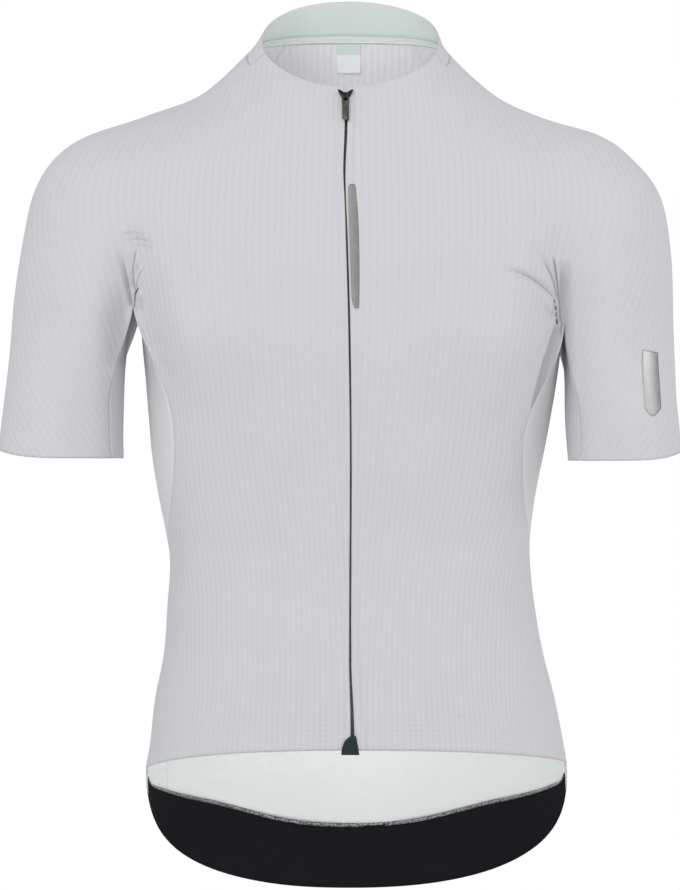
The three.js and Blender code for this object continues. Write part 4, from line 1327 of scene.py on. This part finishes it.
STRIP = table(
    "drop from to",
    (111.2, 0.8, 4.0),
    (112.2, -0.5, 4.8),
    (118, -0.9, 5.4),
    (135, -0.6, 6.9),
    (160, 0.2, 7.9),
    (190, 1.2, 8.1),
    (204, 1.8, 8.0),
    (208.5, 2.7, 7.9),
    (212.5, 4.4, 7.7),
)
TAB = table(
    "drop from to slant",
    (244.6, 242.2, 255.6, 2.2),
    (262, 242.2, 256.2, 1.2),
    (280, 242.8, 256.9, 0.4),
    (292.8, 243.2, 257.2, 0),
)
TAB_POINT = 7
TAB_POINT_SHARPNESS = 1.5
FILM = 0.3


def film(name, replaced, panel, rows_table, count, columns, material, point=0.0):
    """A film laid on a panel: its edges follow a table, and its foot may end in a point."""
    drop = steps(rows_table["drop"][0], rows_table["drop"][-1], count)
    edges = follow(rows_table, "drop", drop)
    share = steps(0, 1, columns)[None, :]
    x = lerp(edges["from"][:, None], edges["to"][:, None], share)
    dip = point * (1 - np.abs(2 * share - 1) ** TAB_POINT_SHARPNESS) * steps(0, 1, count)[:, None] ** 3
    z = -drop[:, None] - dip
    if "slant" in edges:
        z = z - edges["slant"][:, None] * share
    place = laid_on(panel, x, z, -300, 0.25 + FILM)
    marks = {"across": share + 0 * x, "up": z}
    return strip_piece(name, material, place, marks, FILM, replaced=replaced)


film("strip_beside_zip", "reflective_strip", panels["front_left"], STRIP, 90, 8, STRIP_FILM)
film("tab_on_sleeve", "sleeve_tab", panels["front_left"], TAB, 40, 16, TAB_FILM, TAB_POINT)

LABEL_HALF, LABEL_TOP, LABEL_FOOT = 10.6, 20.3, -3.4
LABEL_THICKNESS = 0.4
label_x, label_z = np.meshgrid(steps(-LABEL_HALF, LABEL_HALF, 16), steps(LABEL_TOP, LABEL_FOOT, 24))
label_place = laid_on(panels["back"], label_x, label_z, 20, CLOTH + 0.35)
label_drop = steps(0, 1, 24)[:, None]
label_place[..., 1] -= 1.2 * label_drop**2 + 0.25 * np.sin(label_drop * 7 + label_x / 5) * label_drop
label_marks = {"up": label_z, "across": (label_x + LABEL_HALF) / LABEL_HALF / 2}
label = strip_piece("neck_label_cloth", LABEL_CLOTH, label_place, label_marks, LABEL_THICKNESS,
                    replaced="neck_label")
declared(label)


# Tapes and seams inside the neck and along the band

def inside_ring(name, material, rows, depth, thickness):
    """A tape behind the cloth, round the back of the neck."""
    surface = around_back(yoke_point, neck_parts, rows)[1]
    points, faces, numbers = welded([("right", surface)])
    depths = depth - soft_drift(points)[numbers[0]]
    inwards = surface - normals_of(points, faces)[numbers[0]] * depths[..., None]
    marks = {"up": inwards[..., 2], "across": inwards[..., 0]}
    return strip_piece(name, material, inwards, marks, thickness, faces_back=True)


NECK_TAPE_ROWS = steps(0.84, 0.965, 4)
NECK_SEAM_ROWS = steps(0.955, 0.995, 2)
NECK_LINE_ROWS = steps(0.79, 0.84, 2)
neck_parts = np.concatenate([ARM[COLLAR_END + 1:], BACK[1:]])
neck_tapes = [
    inside_ring("collar_tape", MINT_TAPE, NECK_TAPE_ROWS, CLOTH + 0.25, 0.4),
    inside_ring("collar_seam_binding", WHITE_TAPE, NECK_SEAM_ROWS, CLOTH + 0.3, 0.9),
    inside_ring("collar_tape_edge", BLUE_TAPE, NECK_LINE_ROWS, CLOTH + 0.3, 0.3),
]

THREAD_SIDES = 5


def threads(name, starts, ends, bows, radius, material):
    """Bowed stitches as one piece: each a thin tube from its start over its bow to its end."""
    sections = 4
    part = steps(0, 1, sections)[None, :, None]
    bend = 4 * part * (1 - part)
    line = starts[:, None] + (ends - starts)[:, None] * part + bows[:, None] * bend
    way = unit((ends - starts))[:, None]
    level = unit(bows)[:, None]
    across = np.cross(way, level)
    turn = (2 * np.pi * np.arange(THREAD_SIDES) / THREAD_SIDES)[None, None, :, None]
    ring = level[:, :, None] * np.cos(turn) + across[:, :, None] * np.sin(turn)
    slim = radius * (0.55 + 0.45 * bend)
    points = (line[:, :, None] + ring * slim[:, :, None]).reshape(-1, 3)
    faces = []
    for start in range(0, len(points), (sections + 1) * THREAD_SIDES):
        for low in range(start, start + sections * THREAD_SIDES, THREAD_SIDES):
            faces += [(low + k, low + (k + 1) % THREAD_SIDES, low + THREAD_SIDES + (k + 1) % THREAD_SIDES,
                       low + THREAD_SIDES + k) for k in range(THREAD_SIDES)]
        foot = start + sections * THREAD_SIDES
        faces.append(tuple(range(start, start + THREAD_SIDES))[::-1])
        faces.append(tuple(range(foot, foot + THREAD_SIDES)))
    piece = mesh_object(name, points, faces, [material])
    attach(piece, "jersey")
    return piece


def evenly(line, pitch):
    """Points a pitch apart along a line of points, and the ways along it."""
    lengths = np.concatenate([[0], np.cumsum(np.linalg.norm(np.diff(line, axis=0), axis=1))])
    at = np.arange(pitch, lengths[-1] - pitch, pitch)
    found = np.stack([np.interp(at, lengths, line[:, k]) for k in range(3)], axis=1)
    return found, unit(np.gradient(found, axis=0))


SERGE_PITCH = 1.15
SERGE_HALF = 0.85
SERGE_RADIUS = 0.3
SERGE_THICKNESS = 0.5
band_top = around_back(body_point, band_parts, np.array([0.985, 1.0, 1.01]))[1]
points, faces, numbers = welded([("right", band_top)])
inward = -normals_of(points, faces)[numbers[0]]
serge_place = around_back(body_point, band_parts, np.array([0.9965, 1.0, 1.03]))[1] + inward * (CLOTH + 0.5)
serge_band = strip_piece(
    "serged_edge", SPECKLED_THREAD, serge_place, {}, SERGE_THICKNESS, faces_back=True,
)
seam_line, seam_way = evenly((band_top + inward * (CLOTH + 1.25))[1], SERGE_PITCH)
seam_count = np.arange(len(seam_line))
seam_at = np.linspace(0, len(seam_line) - 1, inward.shape[1])
seam_in = np.stack([np.interp(seam_count, seam_at, inward[1, :, k]) for k in range(3)], axis=1)
unevenness = np.sin(seam_count * 2.3)[:, None]
lean = SERGE_HALF * (0.9 + 0.12 * unevenness) * np.array([0.0, 0, 1]) + seam_way * 0.5
serging = threads("serging_stitches", seam_line + lean, seam_line - lean, seam_in * 0.3, SERGE_RADIUS,
                  SERGE_THREAD)

# The short bar tacks across the underarm seams at the cuffs.
TACK_COUNT = 9
TACK_RADIUS = 0.22
tacks = []
for side in SIDES:
    low = sleeve_point(side, np.array(3.0), np.array(0.965))
    high = sleeve_point(side, np.array(3.0), np.array(0.995))
    heights = steps(0, 1, TACK_COUNT)[:, None]
    middle = low + (high - low) * heights
    outwards = unit(np.array([[0.35 * -SIGN[side], -1.0, 0]]))
    sideways = np.array([[1.0, 0.35 * -SIGN[side], 0]])
    at = middle + outwards * 0.25
    tacks.append((at - sideways * 1.5, at + sideways * 1.5, np.repeat(outwards * 0.3, len(at), axis=0)))
tack_starts, tack_ends, tack_bows = (np.concatenate([tack[k] for tack in tacks]) for k in range(3))
threads("cuff_bar_tacks", tack_starts, tack_ends, tack_bows, TACK_RADIUS, PALE_THREAD)


# The flat cuts: width and length in millimetres, and the area in square centimetres

CUTS = {
    "front_right": (520, 660, 1950),
    "front_left": (510, 655, 1920),
    "side_right": (125, 430, 340),
    "side_left": (120, 415, 320),
    "underarm_right": (118, 140, 112),
    "underarm_left": (112, 128, 100),
    "back": (420, 690, 1990),
    "pocket_right": (96, 180, 112),
    "pocket_left": (101, 174, 114),
    "pocket_centre": (184, 178, 268),
}
for name, (width, length, area) in CUTS.items():
    declared(pieces[name])
declared(pieces["collar"])
declared(pieces["band"])


# Floor, light and camera

ROOM_LIGHT = 0.62


def studio():
    scene = bpy.context.scene
    world = bpy.data.worlds.new("studio")
    world.use_nodes = True
    tree = world.node_tree
    background = tree.nodes["Background"]
    background.inputs["Color"].default_value = (1, 1, 1, 1)
    seen = node(tree, "ShaderNodeLightPath").outputs["Is Camera Ray"]
    feed(tree, background.inputs["Strength"], maths(tree, "MULTIPLY_ADD", seen, 1 - ROOM_LIGHT, ROOM_LIGHT))
    scene.world = world
    scene.view_settings.view_transform = "Standard"
    floor_half, floor_z = 4.4, -1.25
    corners = [(-floor_half, -floor_half), (floor_half, -floor_half), (floor_half, floor_half),
               (-floor_half, floor_half)]
    data = bpy.data.meshes.new("floor")
    data.from_pydata([(x, y, floor_z) for x, y in corners], [], [(0, 1, 2, 3)])
    floor = bpy.data.objects.new("floor", data)
    scene.collection.objects.link(floor)
    pale, tree, shader = material("pale_floor", grey(0.85), 0.9)
    uneven = mixed(tree, noise(tree, 0.6), grey(0.84), grey(0.87))
    tree.links.new(uneven, shader.inputs["Base Color"])
    data.materials.append(pale)


LAMPS = table(
    "x y z to_x to_y to_z size watts",
    (-1.9, -2.5, 1.2, 0, 0, -0.33, 1.5, 23),
    (0.2, -2.4, 2.2, 0, 0, -0.33, 1.4, 12),
    (0.1, -3.2, -1.0, 0, 0, -0.33, 1.6, 12),
    (2.7, -0.4, 0.3, 0.1, 0, -0.3, 1.2, 12),
    (0, -0.015, -0.09, 0, 0.07, 0.02, 0.08, 0.045),
    (0, 0.0, -0.46, 0, 0.11, -0.68, 0.1, 0.15),
)


def lamps():
    """Soft lamps: four round the jersey and two inside it, which the camera doesn't see."""
    for number, (x, y, z, to_x, to_y, to_z, size, watts) in enumerate(zip(*LAMPS.values())):
        data = bpy.data.lights.new(f"soft_lamp_{number}", "AREA")
        data.shape = "DISK"
        data.size = size
        data.energy = watts
        lamp = bpy.data.objects.new(data.name, data)
        lamp.location = (x, y, z)
        lamp.rotation_euler = (Vector((to_x, to_y, to_z)) - lamp.location).to_track_quat("-Z", "Y").to_euler()
        lamp.visible_camera = False
        bpy.context.scene.collection.objects.link(lamp)


CAMERA_AWAY = 3.3
FRAME_HEIGHT = 0.7476
SENSOR = 36


def camera():
    data = bpy.data.cameras.new("camera")
    data.sensor_width = SENSOR
    data.sensor_fit = "AUTO"
    data.lens = SENSOR * CAMERA_AWAY / FRAME_HEIGHT
    made = bpy.data.objects.new("camera", data)
    made.location = (-0.00756, -CAMERA_AWAY, -0.3234)
    made.rotation_euler = (math.pi / 2, 0, 0)
    bpy.context.scene.collection.objects.link(made)
    bpy.context.scene.camera = made


studio()
lamps()
camera()
